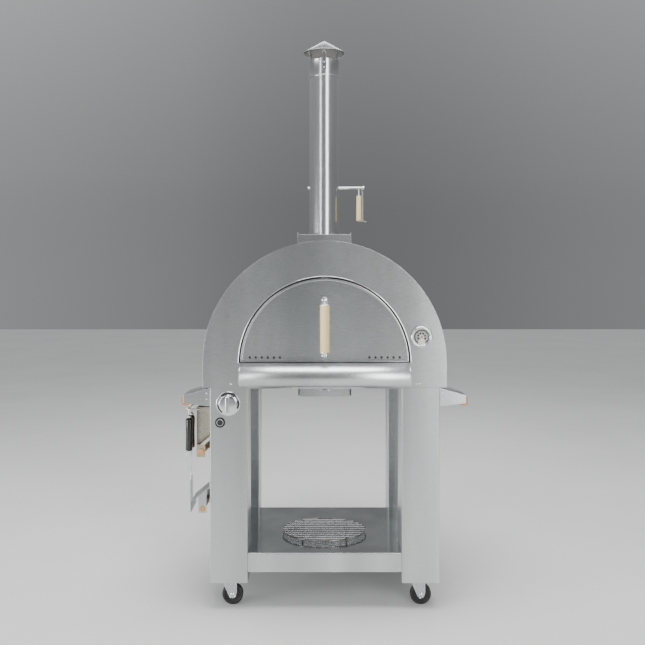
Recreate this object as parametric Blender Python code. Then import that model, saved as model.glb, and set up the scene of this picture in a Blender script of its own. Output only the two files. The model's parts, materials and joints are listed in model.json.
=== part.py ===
"""Stainless steel pizza oven for wood and gas, on a four-legged cart.

Units are metres, +Z is up and the oven's door faces -Y. The origin is on the floor, under the middle
of the oven's outline. Each visible object is one separate piece of the oven.
"""

import math

import bmesh
import bpy
from mathutils import Matrix, Vector

# General
GAP = 0.0003  # clearance kept between pieces that touch
SHEET = 0.002  # thickness of the folded stainless sheet
PANEL = 0.003  # thickness of the front and rear panels
BEYOND = 0.02  # how far a cutter runs past the face that it opens

# Cart
CART_DEPTH = 0.710
LEDGE_REACH = 0.090
FRONT_Y = (LEDGE_REACH - CART_DEPTH) / 2
REAR_Y = FRONT_Y + CART_DEPTH
LEG_WIDTH = 0.140
LEG_OUTER_X = 0.425
LEG_INNER_X = LEG_OUTER_X - LEG_WIDTH
LEG_BASE_Z = 0.104
LEG_FLOOR_Z = 0.112
LEG_TOP_Z = 0.827
FRONT_LEG_BACK_Y = FRONT_Y + LEG_WIDTH
REAR_LEG_FRONT_Y = REAR_Y - LEG_WIDTH
SHELF_TOP_Z = 0.215
SHELF_APRON = 0.070

# Arched body
BODY_R = 0.452
ARCH_Z = 0.919
ARCH_STEPS = 40
PAN_WALL = 0.050
DOME_R = 0.330
DOME_WALL = 0.003
DOME_REAR_Y = 0.290
HEARTH_Z = 0.884  # underside of the baking stones
STONE_THICKNESS = 0.030
OPENING_R = 0.318
BODY_FRONT_Y = FRONT_Y + PANEL + GAP
BODY_REAR_Y = REAR_Y - PANEL - GAP
ASH_SLOT_HALF = 0.060
ABOVE_BODY_Z = 1.55  # top of the cutters that open the roof for the flue

# Door
DOOR_R = 0.3125
DOOR_SILL_Z = ARCH_Z + 0.003
DOOR_RIM = 0.009
DOOR_RECESS = 0.007
DOOR_THICKNESS = 0.014
VENT_COUNT = 6
VENT_PITCH = 0.0224
VENT_FIRST_X = 0.166
VENT_R = 0.004
VENT_Z = 0.938
HANDLE_Y = FRONT_Y - 0.058
HANDLE_LOW_Z = 0.944
HANDLE_HIGH_Z = 1.152
HANDLE_ROD_R = 0.005
HANDLE_GRIP_R = 0.0165

# Ledge and ash drawer
LEDGE_HALF = 0.3105
LEDGE_TOP_Z = 0.916
LEDGE_BASE_Z = 0.831
DRAWER_HALF = 0.0915
DRAWER_FACE_HALF = 0.0925
DRAWER_FACE_BASE_Z = 0.794
DRAWER_BASE_Z = 0.7988
DRAWER_WALL = 0.0015
DRAWER_REAR_Y = -0.058
RUNNER_HALF = 0.0990
RUNNER_FOOT_Z = 0.7965
NOTCH_R = 0.006

# Flue
FLUE_Y = FRONT_Y + 0.330
FLUE_R = 0.060
FLUE_WALL = 0.0015
FLUE_TOP_Z = 2.090
COLLAR_Z = 1.402  # underside of the collar's plate
COLLAR_HALF = 0.107
COLLAR_LIP = 0.007
SLEEVE_BASE_Z = 2.052
SLEEVE_TOP_Z = 2.121
STRAP_TOP_Z = 2.163
CAP_R = 0.088
CAP_RIM_Z = 2.151
CAP_APEX_Z = 2.205
DAMPER_Z = 1.601
DAMPER_ROD_R = 0.0048
DAMPER_GRIP_X = 0.1427
DAMPER_GRIP_R = 0.0108
DAMPER_GRIP_LOW_Z = 1.4655
DAMPER_GRIP_HIGH_Z = 1.569

# Instruments and gas
DIAL_X, DIAL_Z = 0.358, 1.015
KNOB_X, KNOB_Z = -0.357, 0.768
IGNITER_X, IGNITER_Z = -0.387, 0.698
PIPE_Y = -0.250
PIPE_R = 0.005
BURNER_X, BURNER_Z = -0.290, 0.930

# Side brackets, tool rack and tools
BRACKET_X = 0.5235
GRIP_OUTER_X, GRIP_LOW_Z, GRIP_SIZE, GRIP_CORNER = 0.530, 0.7615, 0.034, 0.009
RACK_X = -0.4755
RACK_REAR_Y = 0.020
RACK_LOW_Z, RACK_TOP_Z = 0.605, 0.754
RACK_SLOPE = math.tan(math.radians(6))  # the plate's rear end stands nearer to the leg
RAIL_X, RAIL_Z, RAIL_R = -0.508, 0.744, 0.003
TOOL_HANDLE_TOP_Z, TOOL_HANDLE_BASE_Z = 0.714, 0.584
TOOL_HANDLE_R = 0.0130

# Casters
WHEEL_R = 0.040
WHEEL_SIDES = 20
AXLE_Z = WHEEL_R * math.cos(math.pi / WHEEL_SIDES)  # a flat facet of the tread lies on the floor
CASTER_X = 0.355
CASTER_TRAIL = 0.008
FORK_HALF = 0.0165
FORK_ROOM_HALF = 0.0142
FORK_TOP_Z = 0.1025
AXLE_R = 0.004

# Wire rack
RACK_RING_X, RACK_RING_Y = 0.165, 0.137
WIRE_RACK_Y = -0.080
WIRE_Z = SHELF_TOP_Z + 0.014


def clear_scene():
    for obj in list(bpy.data.objects):
        bpy.data.objects.remove(obj)


def make_material(name, colour, roughness, metallic):
    material = bpy.data.materials.new(name)
    material.use_nodes = True
    shader = material.node_tree.nodes["Principled BSDF"]
    shader.inputs["Base Color"].default_value = (*colour, 1)
    shader.inputs["Roughness"].default_value = roughness
    shader.inputs["Metallic"].default_value = metallic
    material.diffuse_color = (*colour, 1)
    return material


def make_materials():
    return {
        "brushed": make_material("brushed_steel", (0.56, 0.58, 0.58), 0.35, 1),
        "polished": make_material("polished_steel", (0.66, 0.67, 0.68), 0.15, 1),
        "zinc": make_material("zinc", (0.55, 0.56, 0.57), 0.4, 1),
        "wood": make_material("wood", (0.80, 0.66, 0.38), 0.5, 0),
        "black": make_material("black_plastic", (0.02, 0.02, 0.02), 0.45, 0),
        "rubber": make_material("wheel_rubber", (0.03, 0.03, 0.03), 0.6, 0),
        "stone": make_material("baking_stone", (0.60, 0.53, 0.42), 0.9, 0),
        "fibre": make_material("ceramic_fibre", (0.80, 0.79, 0.75), 0.95, 0),
        "brass": make_material("brass", (0.70, 0.55, 0.28), 0.35, 1),
        "glass": make_material("glass", (0.90, 0.92, 0.93), 0.05, 0),
        "red": make_material("needle_red", (0.55, 0.05, 0.04), 0.5, 0),
    }


def link_mesh(name, bm, material=None):
    """Object from a bmesh, with its normals out and its round faces shaded smooth."""
    bmesh.ops.remove_doubles(bm, verts=bm.verts, dist=1e-6)
    bmesh.ops.recalc_face_normals(bm, faces=bm.faces)
    mesh = bpy.data.meshes.new(name)
    bm.to_mesh(mesh)
    bm.free()
    mesh.shade_smooth()
    mesh.set_sharp_from_angle(angle=math.radians(35))
    obj = bpy.data.objects.new(name, mesh)
    bpy.context.scene.collection.objects.link(obj)
    if material:
        mesh.materials.append(material)
    return obj


def point_along(axis, u, v, w):
    """Outline point (u, v) at distance w along the axis: XZ on Y, YZ on X and XY on Z."""
    return {"X": (w, u, v), "Y": (u, w, v), "Z": (u, v, w)}[axis]


def prism(name, outline, axis, start, end, material=None):
    """Outline extruded from start to end along an axis."""
    bm = bmesh.new()
    face = bm.faces.new([bm.verts.new(point_along(axis, u, v, start)) for u, v in outline])
    extruded = bmesh.ops.extrude_face_region(bm, geom=[face])["geom"]
    offset = Vector(point_along(axis, 0, 0, end - start))
    moved = [item for item in extruded if isinstance(item, bmesh.types.BMVert)]
    bmesh.ops.translate(bm, verts=moved, vec=offset)
    return link_mesh(name, bm, material)


def block(name, low, high, material=None):
    corners = [(low[0], low[1]), (high[0], low[1]), (high[0], high[1]), (low[0], high[1])]
    return prism(name, corners, "Z", low[2], high[2], material)


def turned(name, profile, axis, centre, material=None, sides=32, turn=0.0):
    """Closed profile of (radius, height) points turned about an axis through centre."""
    bm = bmesh.new()
    rings = []
    for radius, height in profile:
        if radius < 1e-7:
            rings.append([bm.verts.new((0, 0, height))])
            continue
        angles = [turn + 2 * math.pi * i / sides for i in range(sides)]
        rings.append([bm.verts.new((radius * math.cos(a), radius * math.sin(a), height)) for a in angles])
    for ring, following in zip(rings, rings[1:] + rings[:1]):
        if len(ring) == 1 and len(following) == 1:
            continue
        for i in range(sides):
            quad = [ring[i % len(ring)], ring[(i + 1) % len(ring)]]
            quad += [following[(i + 1) % len(following)], following[i % len(following)]]
            bm.faces.new(list(dict.fromkeys(quad)))
    quarter = math.pi / 2
    turns = {"Z": Matrix(), "Y": Matrix.Rotation(-quarter, 4, "X"), "X": Matrix.Rotation(quarter, 4, "Y")}
    bmesh.ops.transform(bm, matrix=Matrix.Translation(centre) @ turns[axis], verts=bm.verts)
    return link_mesh(name, bm, material)


def disc(name, radius, axis, centre, start, end, material=None, sides=32, turn=0.0):
    """Solid cylinder from start to end along an axis; the centre holds its other two coordinates."""
    profile = [(0, start), (radius, start), (radius, end), (0, end)]
    return turned(name, profile, axis, centre, material, sides, turn)


def tube(name, outer, inner, axis, centre, start, end, material=None, sides=32):
    profile = [(inner, start), (outer, start), (outer, end), (inner, end)]
    return turned(name, profile, axis, centre, material, sides)


def rod(name, points, radius, material):
    """Round rod along a list of points."""
    curve = bpy.data.curves.new(name, "CURVE")
    curve.dimensions = "3D"
    curve.bevel_depth = radius
    curve.bevel_resolution = 2
    curve.use_fill_caps = True
    spline = curve.splines.new("POLY")
    spline.points.add(len(points) - 1)
    for place, point in zip(spline.points, points):
        place.co = (*point, 1)
    curve.materials.append(material)
    obj = bpy.data.objects.new(name, curve)
    bpy.context.scene.collection.objects.link(obj)
    return obj


def rounded_path(corners, radius, steps=4):
    """Points along a broken line whose inner corners are rounded."""
    corners = [Vector(corner) for corner in corners]
    points = [corners[0]]
    for before, corner, after in zip(corners, corners[1:], corners[2:]):
        start = corner + (before - corner).normalized() * radius
        end = corner + (after - corner).normalized() * radius
        for i in range(steps + 1):
            t = i / steps
            points.append(start * (1 - t) ** 2 + corner * 2 * t * (1 - t) + end * t**2)
    return points + [corners[-1]]


def as_helper(obj, owner):
    """Hides a cutter or a joined shape, and lets it follow the piece that it shapes."""
    obj.hide_render = True
    obj.display_type = "WIRE"
    obj.parent = owner
    obj.matrix_parent_inverse = owner.matrix_world.inverted()


def shape_with(obj, others, operation):
    for other in others:
        modifier = obj.modifiers.new(f"{operation.lower()} {other.name}", "BOOLEAN")
        modifier.object = other
        modifier.operation = operation
        modifier.solver = "EXACT"
        as_helper(other, obj)
    return obj


def cut(obj, *cutters):
    return shape_with(obj, cutters, "DIFFERENCE")


def fuse(obj, *parts):
    return shape_with(obj, parts, "UNION")


def pivot(name, place, pieces):
    """Empty on a joint's axis, which carries the pieces that move with it."""
    empty = bpy.data.objects.new(name, None)
    empty.empty_display_size = 0.05
    empty.location = place
    bpy.context.scene.collection.objects.link(empty)
    bpy.context.view_layer.update()
    for piece in pieces:
        piece.parent = empty
        piece.matrix_parent_inverse = empty.matrix_world.inverted()
    return empty


def arc(centre_u, centre_v, radius, start, end, steps):
    """Points on a circle between two angles in degrees."""
    angles = [math.radians(start + (end - start) * i / steps) for i in range(steps + 1)]
    return [(centre_u + radius * math.cos(a), centre_v + radius * math.sin(a)) for a in angles]


def arch(radius, base_z, steps=ARCH_STEPS):
    """Half round about the arch's centre, on straight sides down to base_z or cut off at it."""
    rise = base_z - ARCH_Z
    if rise > 0:
        lift = math.degrees(math.asin(rise / radius))
        return arc(0, ARCH_Z, radius, lift, 180 - lift, steps)
    top = arc(0, ARCH_Z, radius, 0, 180, steps)
    return top if rise == 0 else [(radius, base_z), *top, (-radius, base_z)]


def arch_shell(radius, wall, base_z):
    """Closed outline of an arched sheet, open at the bottom."""
    return arch(radius, base_z) + arch(radius - wall, base_z)[::-1]


def ash_slot(name):
    low = (-ASH_SLOT_HALF, FRONT_Y + 0.008, LEG_TOP_Z - BEYOND)
    high = (ASH_SLOT_HALF, FRONT_Y + 0.040, HEARTH_Z + STONE_THICKNESS + BEYOND)
    return block(name, low, high)


def body_shell(m):
    """The front and rear panels and the sheet bent over between them."""
    around = (FRONT_Y - BEYOND, FRONT_Y + BEYOND)
    front = prism("front_panel", arch(BODY_R, LEG_TOP_Z), "Y", FRONT_Y, FRONT_Y + PANEL, m["brushed"])
    opening = prism("opening_cutter", arch(OPENING_R, ARCH_Z), "Y", *around)
    cut(front, opening, disc("stud_hole", 0.007, "Y", (DIAL_X, 0, DIAL_Z), *around, sides=16))
    outline = arch_shell(BODY_R, SHEET, LEG_TOP_Z)
    casing = prism("outer_casing", outline, "Y", BODY_FRONT_Y, BODY_REAR_Y, m["brushed"])
    cut(casing, disc("casing_flue_hole", FLUE_R + 0.004, "Z", (0, FLUE_Y, 0), ARCH_Z, ABOVE_BODY_Z))
    prism("rear_panel", arch(BODY_R, LEG_TOP_Z), "Y", REAR_Y - PANEL, REAR_Y, m["brushed"])


def pan(m):
    """Tray under the hearth, folded up all round."""
    half = BODY_R - SHEET - GAP
    top = LEG_TOP_Z + PAN_WALL
    shape = block("base_pan", (-half, BODY_FRONT_Y, LEG_TOP_Z), (half, BODY_REAR_Y, top), m["brushed"])
    inner = half - SHEET
    low = (-inner, BODY_FRONT_Y + SHEET, LEG_TOP_Z + SHEET)
    room = block("pan_cutter", low, (inner, BODY_REAR_Y - SHEET, top + BEYOND))
    through = (LEG_TOP_Z - BEYOND, LEG_TOP_Z + BEYOND)
    pipe_hole = disc("pan_pipe_hole", PIPE_R + 0.004, "Z", (KNOB_X, PIPE_Y, 0), *through, sides=16)
    cut(shape, room, ash_slot("pan_slot"), pipe_hole)


def hearth(m):
    """Insulation, steel dome and the two baking stones."""
    start, end = BODY_FRONT_Y + SHEET + GAP, BODY_REAR_Y - SHEET - GAP
    jacket_r, floor_z = BODY_R - SHEET - 0.003, LEG_TOP_Z + SHEET + GAP
    jacket = prism("insulation_jacket", arch(jacket_r, floor_z), "Y", start, end, m["fibre"])
    room_outline = arch(DOME_R + DOME_WALL + GAP, HEARTH_Z - GAP)
    room = prism("dome_room", room_outline, "Y", FRONT_Y, DOME_REAR_Y + GAP)
    low = (KNOB_X - 0.012, PIPE_Y - 0.012, LEG_TOP_Z - BEYOND)
    channel = block("pipe_channel", low, (-DOME_R, PIPE_Y + 0.012, BURNER_Z + 0.015))
    flue = (0, FLUE_Y, 0)
    flue_hole = disc("jacket_flue_hole", FLUE_R + 0.0015, "Z", flue, ARCH_Z, ABOVE_BODY_Z)
    stud_room = disc("stud_room", 0.008, "Y", (DIAL_X, 0, DIAL_Z), FRONT_Y, FRONT_Y + 0.06, sides=16)
    cut(jacket, room, ash_slot("jacket_slot"), channel, flue_hole, stud_room)

    dome = prism("inner_dome", arch(DOME_R + DOME_WALL, HEARTH_Z), "Y", start, DOME_REAR_Y, m["brushed"])
    inside = prism("dome_inside", arch(DOME_R, HEARTH_Z - BEYOND), "Y", FRONT_Y, DOME_REAR_Y - DOME_WALL)
    smoke_hole = disc("smoke_hole", FLUE_R - 0.002, "Z", flue, ARCH_Z, ABOVE_BODY_Z)
    wall = (-DOME_R - BEYOND, -DOME_R + BEYOND)
    gas_hole = disc("dome_gas_hole", PIPE_R + 0.003, "X", (0, PIPE_Y, BURNER_Z), *wall, sides=16)
    cut(dome, inside, smoke_hole, gas_hole)

    for side, name in ((-1, "baking_stone_left"), (1, "baking_stone_right")):
        edges = sorted((side * GAP, side * (DOME_R - 0.001)))
        low = (edges[0], start + GAP, HEARTH_Z)
        high = (edges[1], DOME_REAR_Y - DOME_WALL - 0.001, HEARTH_Z + STONE_THICKNESS)
        cut(block(name, low, high, m["stone"]), ash_slot(f"{name}_slot"))


def ledge(m):
    """Rolled ledge under the door, closed at its ends and open towards the panel."""
    nose_r = (LEDGE_TOP_Z - LEDGE_BASE_Z) / 2
    nose_y = FRONT_Y - LEDGE_REACH + nose_r
    middle = (LEDGE_TOP_Z + LEDGE_BASE_Z) / 2
    back = FRONT_Y - GAP
    outline = [(back, LEDGE_TOP_Z), *arc(nose_y, middle, nose_r, 90, 270, 16), (back, LEDGE_BASE_Z)]
    inner = [(back + BEYOND, LEDGE_TOP_Z - SHEET), *arc(nose_y, middle, nose_r - SHEET, 90, 270, 16)]
    inner.append((back + BEYOND, LEDGE_BASE_Z + SHEET))
    shape = prism("front_ledge", outline, "X", -LEDGE_HALF, LEDGE_HALF, m["brushed"])
    cut(shape, prism("ledge_cutter", inner, "X", SHEET - LEDGE_HALF, LEDGE_HALF - SHEET))


def drawer_runner(m):
    """Two channels that face each other under the pan, joined by a stop at the rear."""
    start, end = FRONT_Y + 0.0025, DRAWER_REAR_Y + 0.010
    head_z, narrow = LEG_TOP_Z - GAP, RUNNER_HALF - 0.0122
    channel = [(narrow, RUNNER_FOOT_Z), (RUNNER_HALF, RUNNER_FOOT_Z)]
    channel += [(RUNNER_HALF, head_z), (narrow, head_z)]
    channel += [(narrow, head_z - SHEET), (RUNNER_HALF - SHEET, head_z - SHEET)]
    channel += [(RUNNER_HALF - SHEET, RUNNER_FOOT_Z + SHEET), (narrow, RUNNER_FOOT_Z + SHEET)]
    runner = prism("drawer_runner", channel, "Y", start, end, m["brushed"])
    left = prism("runner_left", [(-u, v) for u, v in channel], "Y", start, end)
    edge = RUNNER_HALF - SHEET / 2
    stop = block("runner_stop", (-edge, end - SHEET, RUNNER_FOOT_Z), (edge, end, head_z))
    fuse(runner, stop, left)


def ash_drawer(m):
    """Open tray behind a face with a small finger notch."""
    top, face_top = 0.8215, 0.8255
    front = FRONT_Y - SHEET
    high = (DRAWER_HALF, DRAWER_REAR_Y, top)
    tray = block("ash_drawer", (-DRAWER_HALF, FRONT_Y - SHEET / 2, DRAWER_BASE_Z), high, m["brushed"])
    low = (-DRAWER_FACE_HALF, front, DRAWER_FACE_BASE_Z)
    fuse(tray, block("drawer_face", low, (DRAWER_FACE_HALF, FRONT_Y, face_top)))
    inner = DRAWER_HALF - DRAWER_WALL
    low = (-inner, FRONT_Y, DRAWER_BASE_Z + DRAWER_WALL)
    inside = block("drawer_inside", low, (inner, DRAWER_REAR_Y - DRAWER_WALL, top + BEYOND))
    through = (front - BEYOND, FRONT_Y + SHEET / 2)
    notch = disc("finger_notch", NOTCH_R, "Y", (0, 0, face_top), *through, sides=16)
    cut(tray, inside, notch)
    pivot("ash_drawer_slide", (0, FRONT_Y, DRAWER_BASE_Z), [tray])


def door(m):
    """Dished door with its inner liner and its wooden grip on a bent rod."""
    face_y, back_y = FRONT_Y + DOOR_RECESS, FRONT_Y + DOOR_THICKNESS
    panel = prism("door_panel", arch(DOOR_R, DOOR_SILL_Z), "Y", FRONT_Y - 0.001, back_y, m["brushed"])
    dish_outline = arch(DOOR_R - DOOR_RIM, DOOR_SILL_Z + DOOR_RIM)
    dish = prism("door_dish", dish_outline, "Y", FRONT_Y - BEYOND, face_y)
    hollow = arch(DOOR_R - SHEET, DOOR_SILL_Z + SHEET)
    back = prism("door_hollow", hollow, "Y", face_y + SHEET, back_y + BEYOND)
    vents = []
    for side in (-1, 1):
        for i in range(VENT_COUNT):
            centre = (side * (VENT_FIRST_X + i * VENT_PITCH), 0, VENT_Z)
            through = (FRONT_Y - BEYOND, face_y + BEYOND)
            vents.append(disc(f"vent_{side}_{i}", VENT_R, "Y", centre, *through, sides=8))
    cut(panel, dish, back, *vents)

    liner_outline = arch(DOOR_R - 0.005, DOOR_SILL_Z + 0.001)
    liner_y = back_y + GAP
    liner = prism("door_liner", liner_outline, "Y", liner_y, liner_y + SHEET, m["brushed"])

    foot_y = face_y - GAP
    corners = [(0, foot_y, HANDLE_HIGH_Z), (0, HANDLE_Y, HANDLE_HIGH_Z)]
    corners += [(0, HANDLE_Y, HANDLE_LOW_Z), (0, foot_y, HANDLE_LOW_Z)]
    bar = rod("door_handle_rod", rounded_path(corners, 0.008), HANDLE_ROD_R, m["polished"])
    ends = (HANDLE_LOW_Z + 0.012, HANDLE_HIGH_Z - 0.012)
    grip = sleeve_grip("door_grip", (0, HANDLE_Y, 0), ends, HANDLE_GRIP_R, HANDLE_ROD_R + 0.0006, m)
    pivot("door_slide", (0, FRONT_Y, DOOR_SILL_Z), [panel, liner, bar, grip])


def sleeve_grip(name, centre, ends, radius, bore, m):
    """Upright wooden grip with rounded ends, bored for its rod."""
    low, high = ends
    edge, rise = radius - 0.002, 0.004
    profile = [(bore, low), (edge, low), (radius, low + rise)]
    profile += [(radius, high - rise), (edge, high), (bore, high)]
    return turned(name, profile, "Z", centre, m["wood"], sides=20)


def flue_collar(m):
    """Square skirt that sits on the casing, under a plate whose two ends turn up."""
    half, top = COLLAR_HALF, COLLAR_Z + PANEL
    low_y, high_y = FLUE_Y - half, FLUE_Y + half
    plate = block("flue_collar", (-half, low_y, COLLAR_Z), (half, high_y, top), m["brushed"])
    skirt_base = ARCH_Z + BODY_R - 0.060
    splay = half + 0.0025
    skirt = [(-splay, skirt_base), (splay, skirt_base), (half, COLLAR_Z + 0.001), (-half, COLLAR_Z + 0.001)]
    lips = []
    for side in (-1, 1):
        edges = sorted((side * (half - SHEET), side * half))
        lip = block(f"collar_lip_{side}", (edges[0], low_y, COLLAR_Z), (edges[1], high_y, top + COLLAR_LIP))
        lips.append(lip)
    fuse(plate, prism("collar_skirt", skirt, "Y", low_y, high_y), *lips)
    inner = half - PANEL
    low = (-inner, low_y + PANEL, skirt_base - BEYOND)
    room = block("collar_room", low, (inner, high_y - PANEL, COLLAR_Z))
    saddle = disc("collar_saddle", BODY_R + 2 * GAP, "Y", (0, 0, ARCH_Z), FRONT_Y, REAR_Y, sides=96)
    bore = disc("collar_bore", FLUE_R + 0.0015, "Z", (0, FLUE_Y, 0), COLLAR_Z - BEYOND, ABOVE_BODY_Z)
    cut(plate, room, saddle, bore)


def flue(m):
    """Pipe, slip sleeve with its cap straps, and the rain cap."""
    centre = (0, FLUE_Y, 0)
    base_z = ARCH_Z + DOME_R + DOME_WALL + GAP
    pipe = tube("flue_pipe", FLUE_R, FLUE_R - FLUE_WALL, "Z", centre, base_z, FLUE_TOP_Z, m["polished"])
    through = (-FLUE_R - BEYOND, FLUE_R + BEYOND)
    cut(pipe, disc("damper_holes", DAMPER_ROD_R + 0.0007, "X", (0, FLUE_Y, DAMPER_Z), *through, sides=12))

    inner, outer = FLUE_R + 0.0006, FLUE_R + 0.0022
    sleeve = tube("flue_sleeve", outer, inner, "Z", centre, SLEEVE_BASE_Z, SLEEVE_TOP_Z, m["polished"])
    straps = []
    for i, angle in enumerate((-90, 30, 150)):
        low, high = (outer - 0.0010, -0.008, SLEEVE_BASE_Z + 0.020), (outer + 0.0018, 0.008, STRAP_TOP_Z)
        strap = block(f"strap_{i}", low, high)
        strap.location = centre
        strap.rotation_euler = (0, 0, math.radians(angle))
        straps.append(strap)
    bpy.context.view_layer.update()
    fuse(sleeve, *straps)
    cone = [(0, CAP_APEX_Z), (0, CAP_APEX_Z - 0.004), (CAP_R, CAP_RIM_Z), (CAP_R, CAP_RIM_Z + PANEL)]
    turned("rain_cap", cone, "Z", centre, m["brushed"])


def damper(m):
    """Butterfly plate on its rod, with the elbow, strip and wooden grip outside the pipe."""
    axis = (0, FLUE_Y, DAMPER_Z)
    foot_z, strip_x, half = DAMPER_GRIP_LOW_Z - 0.0045, 0.1545, 0.009
    ends = (-FLUE_R - 0.007, strip_x + 0.002)
    valve = disc("damper_valve", DAMPER_ROD_R, "X", axis, *ends, m["polished"], sides=12)
    plate = disc("damper_disc", FLUE_R - 0.006, "Y", (0, 0, DAMPER_Z), FLUE_Y - 0.001, FLUE_Y + 0.001)
    grip_axis = (DAMPER_GRIP_X, FLUE_Y, 0)
    stem = disc("damper_stem", 0.004, "Z", grip_axis, foot_z + 0.001, DAMPER_Z, sides=12)
    high = (strip_x + 0.005, FLUE_Y + half, DAMPER_Z + 0.007)
    strip = block("damper_strip", (strip_x, FLUE_Y - half, foot_z), high)
    high = (0.172, FLUE_Y + half, foot_z + 0.004)
    foot = block("damper_foot", (DAMPER_GRIP_X - 0.006, FLUE_Y - half, foot_z), high)
    fuse(valve, plate, stem, strip, foot)
    ends = (DAMPER_GRIP_LOW_Z, DAMPER_GRIP_HIGH_Z)
    grip = sleeve_grip("damper_grip", grip_axis, ends, DAMPER_GRIP_R, 0.0046, m)
    pivot("damper_hinge", axis, [valve, grip])


def thermometer(m):
    """Case with its dial floor and rear stud, the needle and the glass."""
    front, floor, back = FRONT_Y - 0.0143, FRONT_Y - 0.0053, FRONT_Y - GAP
    centre = (DIAL_X, 0, DIAL_Z)
    rim, pocket, stud = 0.040, 0.0285, 0.006
    profile = [(0, floor), (pocket, floor), (pocket, front), (rim - 0.004, front), (rim, front + 0.004)]
    profile += [(rim, back), (stud, back), (stud, FRONT_Y + 0.04), (0, FRONT_Y + 0.04)]
    turned("thermometer_case", profile, "Y", centre, m["polished"])
    disc("thermometer_lens", pocket - 0.0005, "Y", centre, FRONT_Y - 0.0123, FRONT_Y - 0.0108, m["glass"])
    direction, across = Vector((-1, 0, -1)).normalized(), Vector((1, 0, -1)).normalized()
    corners = [(-0.007, -0.0012), (0.021, -0.0006), (0.021, 0.0006), (-0.007, 0.0012)]
    outline = [direction * u + across * v for u, v in corners]
    bar = [(DIAL_X + point.x, DIAL_Z + point.z) for point in outline]
    ends = (FRONT_Y - 0.0085, FRONT_Y - 0.0060)
    hub = disc("thermometer_needle", 0.003, "Y", centre, *ends, m["red"], sides=12)
    fuse(hub, prism("needle_bar", bar, "Y", FRONT_Y - 0.0080, FRONT_Y - 0.0070))
    pivot("thermometer_needle_hinge", (DIAL_X, FRONT_Y, DIAL_Z), [hub])


def gas_valve(m):
    """Valve block with its boss, outlet, and the inlet nut behind the leg."""
    centre = (KNOB_X, 0, KNOB_Z)
    low = (KNOB_X - 0.018, FRONT_Y + 0.010, KNOB_Z - 0.015)
    valve = block("gas_valve", low, (KNOB_X + 0.018, FRONT_Y + 0.048, KNOB_Z + 0.015), m["brass"])
    boss = disc("valve_boss", 0.011, "Y", centre, FRONT_Y + SHEET + GAP, FRONT_Y + 0.012, sides=16)
    outlet = disc("valve_outlet", 0.010, "Z", (KNOB_X, PIPE_Y, 0), KNOB_Z - 0.010, KNOB_Z + 0.015, sides=16)
    tail = disc("inlet_tail", 0.007, "Y", centre, FRONT_Y + 0.040, FRONT_LEG_BACK_Y + 0.006, sides=16)
    nut = disc("inlet_nut", 0.011, "Y", centre, FRONT_LEG_BACK_Y + GAP, FRONT_LEG_BACK_Y + 0.018, sides=6)
    fuse(valve, boss, outlet, tail, nut)
    cut(valve, disc("spindle_bore", 0.0048, "Y", centre, FRONT_Y - 0.01, FRONT_Y + 0.031, sides=16))


def gas_knob(m):
    """Round knob with a grip bar across it, on the valve's spindle, over a flat bezel."""
    centre = (KNOB_X, 0, KNOB_Z)
    bezel = [(0.007, FRONT_Y - 0.0043), (0.042, FRONT_Y - 0.0043), (0.045, FRONT_Y - 0.0023)]
    bezel += [(0.045, FRONT_Y - GAP), (0.007, FRONT_Y - GAP)]
    turned("knob_bezel", bezel, "Y", centre, m["polished"])
    ends = (FRONT_Y - 0.025, FRONT_Y + 0.026)
    spindle = disc("valve_spindle", 0.0040, "Y", centre, *ends, m["brass"], sides=16)
    back, skirt, nose = FRONT_Y - 0.0078, FRONT_Y - 0.016, FRONT_Y - 0.035
    bore, rim = 0.0048, 0.034
    profile = [(bore, back), (rim, back), (rim, skirt), (rim - 0.003, skirt - 0.002), (0, skirt - 0.002)]
    profile += [(0, skirt - 0.0005), (bore, skirt - 0.0005)]
    knob = turned("gas_knob", profile, "Y", centre, m["polished"])
    low = (KNOB_X - 0.0075, nose, KNOB_Z - 0.030)
    fuse(knob, block("knob_bar", low, (KNOB_X + 0.0075, skirt - 0.001, KNOB_Z + 0.030)))
    cut(knob, disc("knob_bore", bore, "Y", centre, nose + 0.008, back + 0.01, sides=16))
    pivot("gas_knob_axis", (KNOB_X, FRONT_Y, KNOB_Z), [spindle, knob])


def igniter(m):
    centre = (IGNITER_X, 0, IGNITER_Z)
    front, seat, rear = FRONT_Y - 0.0033, FRONT_Y - GAP, FRONT_Y + 0.045
    flange, barrel, bore, bore_end = 0.019, 0.0145, 0.0095, FRONT_Y + 0.038
    profile = [(0, bore_end), (bore, bore_end), (bore, front), (flange - 0.0015, front)]
    profile += [(flange, front + 0.0015), (flange, seat), (barrel, seat), (barrel, rear), (0, rear)]
    turned("igniter_housing", profile, "Y", centre, m["black"], sides=24)
    nose, button_r = FRONT_Y - 0.0085, bore - 0.0005
    profile = [(0, nose), (button_r - 0.0015, nose), (button_r, nose + 0.0015)]
    profile += [(button_r, FRONT_Y + 0.030), (0, FRONT_Y + 0.030)]
    button = turned("igniter_button", profile, "Y", centre, m["black"], sides=20)
    pivot("igniter_button_slide", (IGNITER_X, FRONT_Y, IGNITER_Z), [button])


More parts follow.
